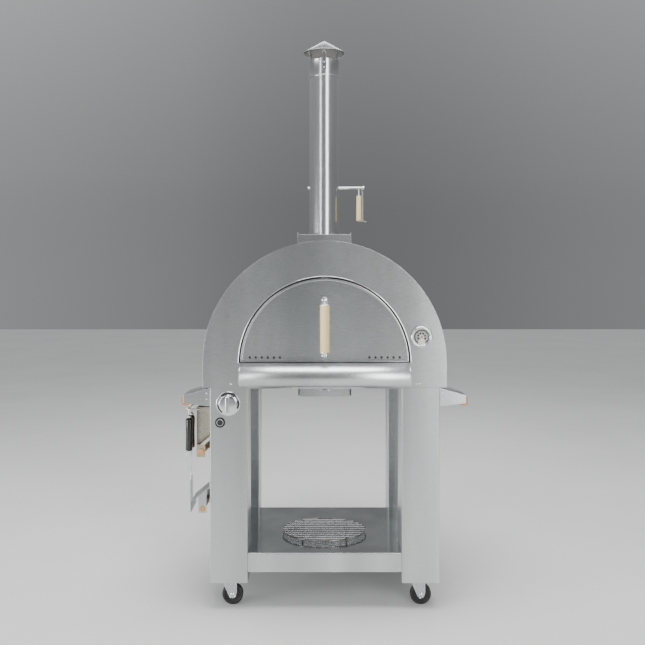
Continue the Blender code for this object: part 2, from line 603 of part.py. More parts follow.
def burner(m):
    """Gas pipe from the valve's outlet, and the burner tube along the dome's left side."""
    start = (KNOB_X, PIPE_Y, KNOB_Z + 0.015 + GAP)
    tube_r = 0.012
    end = (BURNER_X - tube_r - GAP, PIPE_Y, BURNER_Z)
    rod("gas_pipe", rounded_path([start, (KNOB_X, PIPE_Y, BURNER_Z), end], 0.015), PIPE_R, m["brass"])
    centre, ends = (BURNER_X, 0, BURNER_Z), (-0.265, 0.200)
    shape = disc("burner_tube", tube_r, "Y", centre, *ends, m["polished"], sides=20)
    feet = []
    stone_top = HEARTH_Z + STONE_THICKNESS + GAP
    for i, y in enumerate((-0.20, 0.14)):
        low, high = (BURNER_X - 0.010, y, stone_top), (BURNER_X + 0.010, y + 0.012, BURNER_Z)
        feet.append(block(f"burner_foot_{i}", low, high))
    fuse(shape, *feet)


def legs(m):
    """Four square hollow legs, each with a floor for its caster's stem."""
    for end, front, back in (("front", FRONT_Y, FRONT_LEG_BACK_Y), ("rear", REAR_LEG_FRONT_Y, REAR_Y)):
        for side, sign in (("left", -1), ("right", 1)):
            low_x, high_x = sorted((sign * LEG_INNER_X, sign * LEG_OUTER_X))
            name = f"leg_{end}_{side}"
            top = LEG_TOP_Z - GAP
            leg = block(name, (low_x, front, LEG_BASE_Z), (high_x, back, top), m["brushed"])
            inner_low, inner_high = (low_x + SHEET, front + SHEET), (high_x - SHEET, back - SHEET)
            room = block(f"{name}_room", (*inner_low, LEG_FLOOR_Z + SHEET), (*inner_high, top + BEYOND))
            recess = block(f"{name}_recess", (*inner_low, LEG_BASE_Z - BEYOND), (*inner_high, LEG_FLOOR_Z))
            stem = (sign * CASTER_X, (front + back) / 2, 0)
            floor = (LEG_FLOOR_Z - BEYOND, LEG_FLOOR_Z + BEYOND)
            cut(leg, room, recess, disc(f"{name}_stem_hole", 0.0068, "Z", stem, *floor, sides=16))
            if name == "leg_front_left":
                control_holes(leg)


def control_holes(leg):
    """Holes for the valve's boss, the igniter and the gas inlet."""
    wall = (FRONT_Y - 0.01, FRONT_Y + 0.01)
    back_wall = (FRONT_LEG_BACK_Y - 0.01, FRONT_LEG_BACK_Y + 0.01)
    knob = (KNOB_X, 0, KNOB_Z)
    spindle = disc("leg_spindle_hole", 0.007, "Y", knob, *wall, sides=16)
    switch = disc("leg_igniter_hole", 0.0152, "Y", (IGNITER_X, 0, IGNITER_Z), *wall, sides=24)
    inlet = disc("leg_inlet_hole", 0.009, "Y", knob, *back_wall, sides=16)
    cut(leg, spindle, switch, inlet)


def shelf(m):
    """Lower shelf, folded down all round, wider between the front and the rear legs."""
    front_half, wide = LEG_INNER_X - GAP, LEG_OUTER_X
    step_y, rear_y = FRONT_LEG_BACK_Y + GAP, REAR_LEG_FRONT_Y - GAP

    def outline(inset):
        half, far = front_half - inset, wide - inset
        right = [(half, FRONT_Y + inset), (half, step_y + inset)]
        right += [(far, step_y + inset), (far, rear_y - inset)]
        return right + [(-x, y) for x, y in reversed(right)]

    base = SHELF_TOP_Z - SHELF_APRON
    plate = prism("lower_shelf", outline(0), "Z", base, SHELF_TOP_Z, m["brushed"])
    cut(plate, prism("shelf_cutter", outline(SHEET), "Z", base - BEYOND, SHELF_TOP_Z - SHEET))


def rounded_square(low_u, low_v, size, corner, steps=4):
    """Square outline with round corners, from its lower left corner."""
    near_u, near_v = low_u + corner, low_v + corner
    far_u, far_v = low_u + size - corner, low_v + size - corner
    points = arc(far_u, near_v, corner, -90, 0, steps) + arc(far_u, far_v, corner, 0, 90, steps)
    points += arc(near_u, far_v, corner, 90, 180, steps)
    return points + arc(near_u, near_v, corner, 180, 270, steps)


def side_brackets(m):
    """A folded bracket with a wooden grip on the outer face of each front leg."""
    near = LEG_OUTER_X + GAP
    outer = [(near, 0.757), (near, 0.826), (BRACKET_X, 0.7985), (BRACKET_X + 0.001, 0.769)]
    wall = near + SHEET
    inner = [(wall, 0.73), (wall, 0.8234), (0.54, 0.7914), (0.54, 0.73)]
    bar = rounded_square(GRIP_OUTER_X - GRIP_SIZE, GRIP_LOW_Z, GRIP_SIZE, GRIP_CORNER)
    for side, sign in (("left", -1), ("right", 1)):
        shape, room, grip = ([(sign * u, v) for u, v in points] for points in (outer, inner, bar))
        bracket = prism(f"bracket_{side}", shape, "Y", FRONT_Y, FRONT_LEG_BACK_Y, m["brushed"])
        cut(bracket, prism(f"bracket_room_{side}", room, "Y", FRONT_Y + SHEET, FRONT_LEG_BACK_Y - SHEET))
        ends = (FRONT_Y + SHEET + GAP, FRONT_LEG_BACK_Y - SHEET - GAP)
        prism(f"bracket_grip_{side}", grip, "Y", *ends, m["wood"])


def rack_face(y):
    """Outer face of the rack plate at a depth."""
    return RACK_X + (y - FRONT_Y) * RACK_SLOPE


def rack_block(name, ends, reach, heights, material=None):
    """Upright prism that starts at the rack plate's outer face and reaches inwards."""
    corners = [(rack_face(y), y) for y in ends] + [(rack_face(y) + reach, y) for y in reversed(ends)]
    return prism(name, corners, "Z", *heights, material)


def rack_plate(m):
    """Sloping plate on the left front leg, with the wooden rail through its front tab."""
    front, back, leg_x = FRONT_Y + 0.005, FRONT_LEG_BACK_Y - 0.002, -LEG_OUTER_X - GAP
    rear = RACK_REAR_Y
    plate = rack_block("rack_plate", (front, rear), SHEET, (RACK_LOW_Z, RACK_TOP_Z), m["polished"])
    into = 0.001
    head = [(rack_face(front) + into, front), (rack_face(back) + into, back), (leg_x, back), (leg_x, front)]
    flange = prism("rack_flange", head, "Z", RACK_TOP_Z - SHEET, RACK_TOP_Z)
    low = (leg_x - SHEET, front, RACK_TOP_Z - 0.034)
    seat = block("rack_seat", low, (leg_x, back, RACK_TOP_Z - 0.0005))
    tab_z = (RACK_LOW_Z - 0.036, RACK_LOW_Z + 0.010)
    front_tab = rack_block("rack_tab_front", (front, front + SHEET), 0.032, tab_z)
    rear_tab = rack_block("rack_tab_rear", (rear - SHEET, rear), 0.010, tab_z)
    fuse(plate, flange, seat, front_tab, rear_tab)

    radius, z = 0.011, RACK_LOW_Z - 0.016
    start, end = front - 0.004, rear - 0.006
    hole_x = rack_face(front) + 0.016
    through = (front - 0.01, front + 0.01)
    cut(plate, disc("rack_tab_hole", radius + 0.0012, "Y", (hole_x, 0, z), *through, sides=20))
    rail = disc("rack_rail_upper", radius, "Y", (0, 0, 0), 0, (end - start), m["wood"], sides=20)
    rail.location = (hole_x - 0.004 * RACK_SLOPE, start, z)
    rail.rotation_euler = (0, 0, -math.atan(RACK_SLOPE))


def rack_strip(m):
    """Lower strip that slopes outwards and down, with its own wooden rail."""
    front, back, leg_x = FRONT_Y + 0.005, FRONT_LEG_BACK_Y - 0.002, -LEG_OUTER_X - GAP
    far, low_z, bend_z, top_z = -0.498, 0.363, 0.4005, 0.485
    profile = [(leg_x, top_z), (leg_x, top_z - 0.0285)]
    profile += [(far + SHEET, bend_z - 0.0015), (far + SHEET, low_z)]
    profile += [(far, low_z), (far, bend_z), (leg_x - SHEET, top_z - 0.027), (leg_x - SHEET, top_z)]
    strip = prism("rack_strip", profile, "Y", front, back, m["polished"])
    ears = []
    for i, y in enumerate((front, back - SHEET)):
        ear = [(-0.438, 0.362), (-0.468, 0.362), (-0.468, 0.4233), (-0.438, 0.4471)]
        ears.append(prism(f"strip_ear_{i}", ear, "Y", y, y + SHEET))
    fuse(strip, *ears)
    radius, centre = 0.010, (-0.453, 0, 0.378)
    cut(strip, disc("strip_ear_hole", radius + GAP, "Y", centre, front - 0.01, front + 0.01, sides=20))
    ends = (front - 0.003, back - SHEET - GAP)
    disc("rack_rail_lower", radius, "Y", centre, *ends, m["wood"], sides=20)


def tool_rail(m):
    ends = (FRONT_Y + 0.015, FRONT_LEG_BACK_Y - 0.012)
    feet = [(rack_face(y) - 0.0008, y, RAIL_Z) for y in ends]
    corners = [feet[0], (RAIL_X, ends[0], RAIL_Z), (RAIL_X, ends[1], RAIL_Z), feet[1]]
    rod("tool_rail", rounded_path(corners, 0.006), RAIL_R, m["polished"])


def hanging_tool(name, y, outline, axis, m):
    """Handle with a ring round the tool rail, and a flat steel blade below it."""
    centre = (RAIL_X, y, 0)
    top, base, radius = TOOL_HANDLE_TOP_Z, TOOL_HANDLE_BASE_Z, TOOL_HANDLE_R
    profile = [(0, base), (radius - 0.003, base), (radius, base + 0.008)]
    profile += [(radius - 0.0015, (base + top) / 2)]
    profile += [(radius, top - 0.020), (radius - 0.005, top), (0, top)]
    handle = turned(f"{name}_handle", profile, "Z", centre, m["black"], sides=12)
    ring_z, wire, major = RAIL_Z - 0.0018, 0.0022, 0.0075
    angles = [math.pi * i / 3 for i in range(6)]
    section = [(major + wire * math.cos(a), wire * math.sin(a)) for a in angles]
    ring = turned(f"{name}_ring", section, "Y", (RAIL_X, y, ring_z), sides=16)
    neck = disc(f"{name}_neck", 0.0026, "Z", centre, top - 0.004, ring_z - major + 0.001, sides=8)
    fuse(handle, neck, ring)
    middle = y if axis == "Y" else RAIL_X
    blade = prism(f"{name}_blade", outline, axis, middle - 0.001, middle + 0.001, m["polished"])
    pivot(f"{name}_hinge", (RAIL_X, y, RAIL_Z), [handle, blade])


def hanging_tools(m):
    """A leaf-shaped server, and a turner whose paddle stands edge-on to the front."""
    top = TOOL_HANDLE_BASE_Z - GAP
    server = [(0.003, top), (0.010, 0.566), (0.0125, 0.545), (0.009, 0.522), (0.002, 0.504)]
    leaf = [(RAIL_X + u, v) for u, v in server] + [(RAIL_X - u, v) for u, v in reversed(server)]
    hanging_tool("server", -0.272, leaf, "Y", m)
    turner_y = -0.215
    turner = [(0.005, top), (0.005, 0.490), (0.028, 0.466), (0.032, 0.382)]
    paddle = [(turner_y + u, v) for u, v in turner] + [(turner_y - u, v) for u, v in reversed(turner)]
    hanging_tool("turner", turner_y, paddle, "X", m)


def fork(name, x, y, m):
    """Caster fork with its stem, race and axle; the trail points to +X."""
    half, tip_r, shoulder_z = 0.0245, 0.014, 0.076
    tip = arc(CASTER_TRAIL, AXLE_Z, tip_r, 205, 350, 10)
    outline = [(-half, FORK_TOP_Z), (-half, shoulder_z), *tip, (half, AXLE_Z + 0.010), (half, FORK_TOP_Z)]
    shape = prism(name, outline, "Y", -FORK_HALF, FORK_HALF, m["zinc"])
    low, high = (-0.05, -FORK_ROOM_HALF, 0.0), (0.05, FORK_ROOM_HALF, FORK_TOP_Z - 0.004)
    race_base, race_top, stem_top, race_r, stem_r = FORK_TOP_Z - 0.001, 0.1112, 0.128, 0.020, 0.006
    race = [(0, race_base), (race_r, race_base), (race_r, race_top - 0.003), (0.0125, race_top)]
    race += [(stem_r, race_top), (stem_r, stem_top), (0, stem_top)]
    stem = turned(f"{name}_stem", race, "Z", (0, 0, 0), sides=16)
    ends = (-FORK_HALF - 0.0025, FORK_HALF + 0.0025)
    axle = disc(f"{name}_axle", AXLE_R, "Y", (CASTER_TRAIL, 0, AXLE_Z), *ends, sides=12)
    cut(shape, block(f"{name}_slot", low, high))
    fuse(shape, axle, stem)
    shape.location = (x, y, 0)
    return shape


def wheel(name, x, y, m):
    """Caster wheel about Y, with a rounded tread whose lowest facet lies flat on the floor."""
    half, bore, hub = 0.0125, AXLE_R + 0.0008, 0.012
    profile = [(bore, -half - 0.0008), (hub, -half - 0.0008), (hub + 0.001, -half + 0.002)]
    profile += [(0.030, -half + 0.002), (0.036, -half), (WHEEL_R, -half + 0.003)]
    profile += [(r, -h) for r, h in reversed(profile)]
    centre = (x + CASTER_TRAIL, y, AXLE_Z)
    return turned(name, profile, "Y", centre, m["rubber"], WHEEL_SIDES, math.pi / WHEEL_SIDES)


def brake_pedal(x, y, m):
    """Foot pedal that turns on a pin between the fork's cheeks."""
    pin_x, pin_z = x + 0.0200, 0.0920
    half = FORK_ROOM_HALF - 0.0006
    pedal = disc("brake_pedal", 0.0022, "Y", (pin_x, 0, pin_z), y - half, y + half, m["black"], sides=12)
    outline = [(0, -0.0020), (0.0165, -0.0045), (0.0165, -0.0115)]
    outline += [(0.0215, -0.0115), (0.0215, 0.0005), (0, 0.0020)]
    lever = [(pin_x + u, pin_z + v) for u, v in outline]
    fuse(pedal, prism("pedal_lever", lever, "Y", y - half + 0.0006, y + half - 0.0006))
    return pedal, (pin_x, y, pin_z)


def casters(m):
    for end, y in (("front", FRONT_Y + LEG_WIDTH / 2), ("rear", REAR_Y - LEG_WIDTH / 2)):
        for side, sign in (("left", -1), ("right", 1)):
            x, place = sign * CASTER_X, f"{end}_{side}"
            frame = fork(f"caster_fork_{place}", x, y, m)
            tyre = wheel(f"caster_wheel_{place}", x, y, m)
            bpy.context.view_layer.update()
            swivel = pivot(f"caster_{place}_swivel", (x, y, AXLE_Z), [frame])
            hub = pivot(f"caster_{place}_axle", (x + CASTER_TRAIL, y, AXLE_Z), [tyre])
            followers = [hub]
            if place == "front_left":
                pedal, centre = brake_pedal(x, y, m)
                followers.append(pivot("brake_pedal_hinge", centre, [pedal]))
            bpy.context.view_layer.update()
            for follower in followers:
                follower.parent = swivel
                follower.matrix_parent_inverse = swivel.matrix_world.inverted()


def wire_rack(m):
    """Oval wire rack that lies loose on the lower shelf."""
    steps, wire = 32, 0.003
    points = [(math.cos(a), math.sin(a)) for a in (2 * math.pi * i / steps for i in range(steps))]
    ring = oval_wire("wire_rack", points, wire, m["polished"])
    parts = []
    for i in range(-3, 4):
        y = i * 0.035
        half = RACK_RING_X * math.sqrt(1 - (y / RACK_RING_Y) ** 2)
        centre = (0, WIRE_RACK_Y + y, WIRE_Z + 0.0004)
        parts.append(disc(f"rack_bar_{i}", 0.0024, "X", centre, -half, half, sides=6))
    cross_z = WIRE_Z - 0.0042
    for side in (-1, 1):
        x = side * 0.085
        half = RACK_RING_Y * math.sqrt(1 - (x / RACK_RING_X) ** 2)
        ends = (WIRE_RACK_Y - half, WIRE_RACK_Y + half)
        parts.append(disc(f"rack_cross_{side}", 0.0028, "Y", (x, 0, cross_z), *ends, sides=6))
        for end in (-1, 1):
            foot = (x, WIRE_RACK_Y + end * 0.085, 0)
            heights = (SHELF_TOP_Z + GAP, cross_z + 0.001)
            parts.append(disc(f"rack_foot_{side}_{end}", 0.0034, "Z", foot, *heights, sides=6))
    fuse(ring, *parts)
    pivot("wire_rack_lift", (0, WIRE_RACK_Y, SHELF_TOP_Z), [ring])


def oval_wire(name, points, wire, material):
    """Closed oval of hexagonal wire about the wire rack's centre."""
    bm = bmesh.new()
    rings = []
    for u, v in points:
        corners = []
        for angle in (math.pi * i / 3 for i in range(6)):
            out, rise = wire * math.cos(angle), wire * math.sin(angle)
            place = (u * (RACK_RING_X + out), WIRE_RACK_Y + v * (RACK_RING_Y + out), WIRE_Z + rise)
            corners.append(bm.verts.new(place))
        rings.append(corners)
    for ring, following in zip(rings, rings[1:] + rings[:1]):
        for i in range(6):
            bm.faces.new((ring[i], ring[(i + 1) % 6], following[(i + 1) % 6], following[i]))
    return link_mesh(name, bm, material)


def main():
    clear_scene()
    m = make_materials()
    makers = (body_shell, pan, hearth, ledge, drawer_runner, ash_drawer, door, flue_collar, flue, damper)
    makers += (thermometer, gas_valve, gas_knob, igniter, burner, legs, shelf, side_brackets)
    makers += (rack_plate, rack_strip, tool_rail, hanging_tools, casters, wire_rack)
    for make in makers:
        make(m)
    bpy.context.view_layer.update()


main()
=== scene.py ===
"""Looks of the pizza oven: fine meshes, procedural materials, a pale floor, studio light and the camera.

Units are metres, +Z is up and the door faces -Y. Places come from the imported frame's own boxes.
"""

import json
import math

import bmesh
import bpy
from mathutils import Matrix, Vector

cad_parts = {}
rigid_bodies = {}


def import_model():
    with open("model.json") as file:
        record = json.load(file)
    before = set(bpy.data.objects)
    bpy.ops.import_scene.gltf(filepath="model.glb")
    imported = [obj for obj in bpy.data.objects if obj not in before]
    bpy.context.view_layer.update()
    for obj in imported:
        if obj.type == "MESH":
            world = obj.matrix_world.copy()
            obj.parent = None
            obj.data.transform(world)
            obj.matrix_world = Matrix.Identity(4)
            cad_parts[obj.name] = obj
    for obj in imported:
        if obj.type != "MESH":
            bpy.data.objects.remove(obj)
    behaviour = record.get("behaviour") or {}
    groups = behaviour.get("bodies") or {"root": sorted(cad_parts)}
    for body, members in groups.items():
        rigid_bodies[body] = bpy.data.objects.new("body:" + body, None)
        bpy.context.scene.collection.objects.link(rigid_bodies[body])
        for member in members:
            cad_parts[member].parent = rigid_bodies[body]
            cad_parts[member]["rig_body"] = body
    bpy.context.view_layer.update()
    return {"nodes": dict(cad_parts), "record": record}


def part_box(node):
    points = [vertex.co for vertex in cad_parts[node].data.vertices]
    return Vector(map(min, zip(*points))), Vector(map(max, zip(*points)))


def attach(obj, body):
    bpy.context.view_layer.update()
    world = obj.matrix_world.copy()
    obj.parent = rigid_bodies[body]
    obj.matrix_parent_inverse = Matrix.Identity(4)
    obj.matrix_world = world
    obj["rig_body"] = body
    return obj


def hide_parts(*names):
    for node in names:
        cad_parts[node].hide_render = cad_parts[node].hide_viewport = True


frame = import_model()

TAU = 2 * math.pi
QUARTER = math.pi / 2
SHARP = math.radians(32)  # a fold steeper than this is shaded as an edge
MERGE = 1e-6  # vertices nearer than this are one vertex
PAST = 0.02  # how far a cutter goes beyond the faces that it opens
LEG_SPOTS = [f"{end}_{side}" for end in ("front", "rear") for side in ("left", "right")]
BODY_OF = {node: obj["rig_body"] for node, obj in frame["nodes"].items()}
SLOT_OF = {row["node"]: row["material_slot"] for row in frame["record"]["subparts"]}


# ---- material nodes


def colour_ramp(tree, output, stops):
    """Ramp node over an output, through (position, (red, green, blue)) stops."""
    made = tree.nodes.new("ShaderNodeValToRGB")
    elements = made.color_ramp.elements
    while len(elements) < len(stops):
        elements.new(0.5)
    for element, (position, colour) in zip(elements, stops):
        element.position = position
        element.color = (*colour, 1)
    tree.links.new(output, made.inputs["Fac"])
    return made


class Shader:
    """A node material with short calls for the textures that the surfaces below share."""

    def __init__(self, name, roughness, metallic, **sockets):
        self.material = bpy.data.materials.new(name)
        self.material.use_nodes = True
        self.tree = self.material.node_tree
        self.principled = self.tree.nodes["Principled BSDF"]
        self.principled.inputs["Roughness"].default_value = roughness
        self.principled.inputs["Metallic"].default_value = metallic
        for socket, value in sockets.items():
            self.principled.inputs[socket.replace("_", " ")].default_value = value
        self.coordinates = self.tree.nodes.new("ShaderNodeTexCoord").outputs["Object"]

    def node(self, kind, **values):
        made = self.tree.nodes.new(kind)
        for name, value in values.items():
            setattr(made, name, value)
        return made

    def link(self, output, socket):
        self.tree.links.new(output, socket)

    def noise(self, scale, detail=3.0, roughness=0.55, stretch=(1, 1, 1)):
        """Noise value over the object's coordinates, stretched along the axes."""
        mapping = self.node("ShaderNodeMapping")
        mapping.inputs["Scale"].default_value = stretch
        texture = self.node("ShaderNodeTexNoise")
        for socket, value in (("Scale", scale), ("Detail", detail), ("Roughness", roughness)):
            texture.inputs[socket].default_value = value
        self.link(self.coordinates, mapping.inputs["Vector"])
        self.link(mapping.outputs["Vector"], texture.inputs["Vector"])
        return texture.outputs["Fac"]

    def ramp(self, value, stops):
        """Colour ramp through (position, colour) stops; a single number makes a grey."""
        stops = [(at, (tone,) * 3 if isinstance(tone, float) else tone) for at, tone in stops]
        return colour_ramp(self.tree, value, stops).outputs["Color"]

    def mix(self, factor, first, second, blend="MIX"):
        """Mix of two colours, each given as an output or as a plain colour."""
        made = self.node("ShaderNodeMix", data_type="RGBA", blend_type=blend)
        for value, socket in ((factor, made.inputs[0]), (first, made.inputs[6]), (second, made.inputs[7])):
            if isinstance(value, bpy.types.NodeSocket):
                self.link(value, socket)
            else:
                socket.default_value = value if isinstance(value, (int, float)) else (*value, 1)
        return made.outputs[2]

    def colour(self, output, stops=None):
        self.link(self.ramp(output, stops) if stops else output, self.principled.inputs["Base Color"])

    def rough(self, output, stops=None):
        self.link(self.ramp(output, stops) if stops else output, self.principled.inputs["Roughness"])

    def bump(self, height, strength, distance):
        made = self.node("ShaderNodeBump")
        made.inputs["Strength"].default_value = strength
        made.inputs["Distance"].default_value = distance
        self.link(height, made.inputs["Height"])
        self.link(made.outputs["Normal"], self.principled.inputs["Normal"])

    def tangent(self, axis):
        made = self.node("ShaderNodeTangent", direction_type="RADIAL", axis=axis)
        self.link(made.outputs["Tangent"], self.principled.inputs["Tangent"])


ALONG = 0.012  # noise runs this much slower along the grain than across it
GRAIN = {"X": (ALONG, 1, 1), "Y": (1, ALONG, 1), "Z": (1, 1, ALONG)}


def brushed_steel(name, grain, tone, roughness, anisotropy=0.7):
    """Sheet with fine brush lines along one axis, a cloudy tone, faint handling marks and broad upright bands
    of painted reflection.
    """
    made = Shader(name, roughness, 1.0, Anisotropic=anisotropy)
    lines = made.noise(2600, 2.0, 0.6, GRAIN[grain])
    clouds = made.noise(2.4, 3.0, 0.5)
    low = (tone * 0.97, tone * 0.99, tone * 0.995)
    high = (tone * 1.01, tone * 1.03, tone * 1.035)
    base = made.ramp(lines, [(0.3, low), (0.7, high)])
    tint = made.ramp(clouds, [(0.35, (0.95, 0.975, 0.985)), (0.65, (1.0, 1.0, 1.0))])
    # painted reflection: broad upright bands darken the colour in place of the surroundings mirrored in the
    # steel
    bands = made.ramp(made.noise(6, 2.0, 0.5, (1, 1, 0.06)), [(0.35, 0.80), (0.62, 1.0)])
    made.colour(made.mix(1.0, made.mix(0.8, base, tint, "MULTIPLY"), bands, "MULTIPLY"))
    streaks = made.ramp(lines, [(0.3, roughness - 0.02), (0.7, roughness + 0.03)])
    smudge = made.ramp(made.noise(9, 5.0, 0.65), [(0.45, 0.0), (0.75, 0.2)])
    made.rough(made.mix(smudge, streaks, (roughness + 0.10,) * 3))
    made.bump(lines, 0.03, 0.0002)
    made.tangent(grain)
    return made.material


def polished_steel(name, tone, roughness, grain, tint=(0.98, 0.99, 1.0)):
    """Bright steel with faint draw lines and water spots."""
    made = Shader(name, roughness, 1.0, Anisotropic=0.3)
    lines = made.noise(500, 2.0, 0.6, GRAIN[grain])
    spots = made.noise(38, 4.0, 0.7)
    dull, bright = (tuple(tone * share * part for part in tint) for share in (0.95, 1.0))
    made.colour(lines, [(0.3, dull), (0.7, bright)])
    lined = made.ramp(lines, [(0.3, roughness - 0.03), (0.7, roughness + 0.05)])
    made.rough(made.mix(made.ramp(spots, [(0.55, 0.0), (0.75, 0.4)]), lined, (roughness + 0.12,) * 3))
    made.bump(lines, 0.05, 0.0003)
    made.tangent(grain)
    return made.material


def zinc_plate(name):
    made = Shader(name, 0.38, 1.0)
    spangle = made.noise(160, 3.0, 0.6)
    made.colour(spangle, [(0.35, (0.42, 0.43, 0.45)), (0.65, (0.60, 0.61, 0.62))])
    made.rough(made.noise(60, 4.0, 0.6), [(0.3, 0.30), (0.7, 0.48)])
    made.bump(spangle, 0.15, 0.0004)
    return made.material


def turned_wood(name, light, dark, grain):
    """Straight-grained hardwood: growth lines, pores along the grain, a thin oiled finish."""
    made = Shader(name, 0.45, 0.0, Coat_Weight=0.15, Coat_Roughness=0.3)
    lines = made.noise(90, 3.0, 0.55, GRAIN[grain])
    broad = made.noise(26, 2.0, 0.5, tuple(max(s, 0.05) for s in GRAIN[grain]))
    pores = made.noise(900, 2.0, 0.5, tuple(max(s, 0.06) for s in GRAIN[grain]))
    middle = tuple((a + b) / 2 for a, b in zip(light, dark))
    grained = made.ramp(lines, [(0.30, middle), (0.48, light), (0.62, light), (0.78, dark)])
    toned = made.mix(made.ramp(broad, [(0.3, 0.0), (0.7, 0.35)]), grained, middle)
    made.colour(made.mix(made.ramp(pores, [(0.62, 0.0), (0.72, 0.5)]), toned, dark))
    made.rough(lines, [(0.3, 0.50), (0.7, 0.38)])
    made.bump(pores, 0.2, 0.0003)
    return made.material


def moulded_plastic(name, colour, roughness, coat=0.0):
    made = Shader(name, roughness, 0.0, Coat_Weight=coat, Coat_Roughness=0.08)
    grain = made.noise(1400, 2.0, 0.5)
    worn = made.noise(45, 5.0, 0.6)
    lighter = tuple(c * 1.7 + 0.004 for c in colour)
    made.colour(worn, [(0.40, colour), (0.75, lighter)])
    made.rough(worn, [(0.3, roughness - 0.06), (0.7, roughness + 0.1)])
    made.bump(grain, 0.25, 0.0003)
    return made.material


def wheel_rubber(name):
    made = Shader(name, 0.6, 0.0)
    dust = made.noise(70, 5.0, 0.65)
    made.colour(dust, [(0.40, (0.010, 0.010, 0.011)), (0.80, (0.045, 0.043, 0.040))])
    made.rough(dust, [(0.3, 0.5), (0.7, 0.8)])
    made.bump(made.noise(800, 2.0, 0.5), 0.3, 0.0004)
    return made.material


def cordierite(name):
    made = Shader(name, 0.9, 0.0)
    grit = made.noise(420, 5.0, 0.7)
    scorch = made.noise(7, 4.0, 0.6)
    plain = made.ramp(grit, [(0.3, (0.42, 0.36, 0.27)), (0.6, (0.62, 0.55, 0.44)), (0.8, (0.72, 0.66, 0.56))])
    made.colour(made.mix(made.ramp(scorch, [(0.5, 0.0), (0.75, 0.6)]), plain, (0.16, 0.12, 0.09)))
    made.rough(grit, [(0.3, 0.80), (0.7, 0.96)])
    made.bump(grit, 0.5, 0.0008)
    return made.material


def ceramic_fibre(name):
    made = Shader(name, 0.95, 0.0, Sheen_Weight=0.2)
    fluff = made.noise(260, 6.0, 0.7)
    made.colour(fluff, [(0.3, (0.62, 0.60, 0.56)), (0.7, (0.86, 0.85, 0.82))])
    made.rough(fluff, [(0.3, 0.90), (0.7, 1.0)])
    made.bump(fluff, 0.6, 0.002)
    return made.material


def brass(name):
    made = Shader(name, 0.32, 1.0)
    tarnish = made.noise(50, 4.0, 0.6)
    made.colour(tarnish, [(0.3, (0.50, 0.36, 0.16)), (0.7, (0.78, 0.62, 0.33))])
    made.rough(tarnish, [(0.3, 0.42), (0.7, 0.26)])
    made.bump(made.noise(700, 2.0, 0.5), 0.1, 0.0003)
    return made.material


def clear_glass(name):
    made = Shader(name, 0.03, 0.0, Transmission_Weight=1.0, IOR=1.45, Alpha=0.15)
    made.colour(made.noise(30, 2.0), [(0.3, (0.93, 0.96, 0.97)), (0.7, (0.98, 0.99, 1.0))])
    made.rough(made.noise(40, 3.0), [(0.4, 0.02), (0.8, 0.06)])
    return made.material


def enamel(name, colour):
    roughness = 0.35
    made = Shader(name, roughness, 0.0, Coat_Weight=0.3)
    mottled = made.noise(120, 3.0)
    darker = tuple(c * 0.88 for c in colour)
    made.colour(mottled, [(0.3, darker), (0.7, colour)])
    made.rough(mottled, [(0.3, roughness + 0.08), (0.7, roughness - 0.05)])
    return made.material


def sooty_steel(name):
    """Inner dome: steel dulled by heat, with straw and brown tints and patches of soot."""
    made = Shader(name, 0.5, 1.0)
    tint = made.noise(5, 4.0, 0.6)
    soot = made.noise(11, 6.0, 0.7)
    straw_to_brown = [(0.3, (0.34, 0.33, 0.32)), (0.5, (0.45, 0.38, 0.27)), (0.7, (0.30, 0.24, 0.22))]
    heated = made.ramp(tint, straw_to_brown)
    made.colour(made.mix(made.ramp(soot, [(0.4, 0.1), (0.7, 0.85)]), heated, (0.03, 0.028, 0.026)))
    made.rough(soot, [(0.3, 0.42), (0.7, 0.85)])
    made.bump(soot, 0.2, 0.001)
    return made.material


M = {
    "panel": brushed_steel("brushed_panel", "X", 0.62, 0.27),
    "door": brushed_steel("brushed_door", "X", 0.64, 0.25),
    "leg": brushed_steel("brushed_leg", "X", 0.62, 0.28),
    "casing": brushed_steel("brushed_casing", "Y", 0.64, 0.25),
    "shelf": brushed_steel("brushed_shelf", "X", 0.62, 0.13, 0.3),
    # painted shade: the rain cap's steel is darker than the flue's to stand for the shade under the cap
    "cap": brushed_steel("spun_cap_painted_shade", "Z", 0.46, 0.34, 0.3),
    "flue": polished_steel("drawn_flue", 0.62, 0.20, "Z"),
    "bright": polished_steel("polished_trim", 0.80, 0.08, "Z"),
    "rod": polished_steel("polished_rod", 0.74, 0.14, "Z"),
    # dark steel for the wire rack; on the cone under the rain cap it is painted shade
    "dark": polished_steel("dark_wire_and_painted_shade", 0.22, 0.24, "Z", (1.0, 0.97, 0.94)),
    # painted reflection: the khaki tint stands for greenish surroundings mirrored in the bare steel of the
    # rack plate
    "rack": polished_steel("rack_sheet_painted_reflection", 0.48, 0.26, "Y", (1.0, 0.90, 0.62)),
    "zinc": zinc_plate("zinc_plate"),
    "wood": turned_wood("beech_upright", (0.90, 0.72, 0.36), (0.72, 0.52, 0.22), "Z"),
    "wood_side": turned_wood("beech_along", (0.52, 0.28, 0.10), (0.28, 0.14, 0.05), "Y"),
    "black_plastic": moulded_plastic("black_plastic", (0.013, 0.013, 0.014), 0.42),
    "gloss": moulded_plastic("glossy_black", (0.004, 0.004, 0.005), 0.16, 0.3),
    "wheel_rubber": wheel_rubber("wheel_rubber"),
    "baking_stone": cordierite("cordierite"),
    "ceramic_fibre": ceramic_fibre("ceramic_fibre"),
    "brass": brass("brass"),
    "clear_glass": clear_glass("dial_glass"),
    "needle_red": enamel("needle_enamel", (0.50, 0.035, 0.03)),
    "white": enamel("dial_enamel", (0.82, 0.82, 0.80)),
    # black for the print, and painted shade inside the door vents
    "print_and_shade": enamel("black_print_and_vent_shade", (0.02, 0.02, 0.022)),
    "soot": sooty_steel("heated_steel"),
}
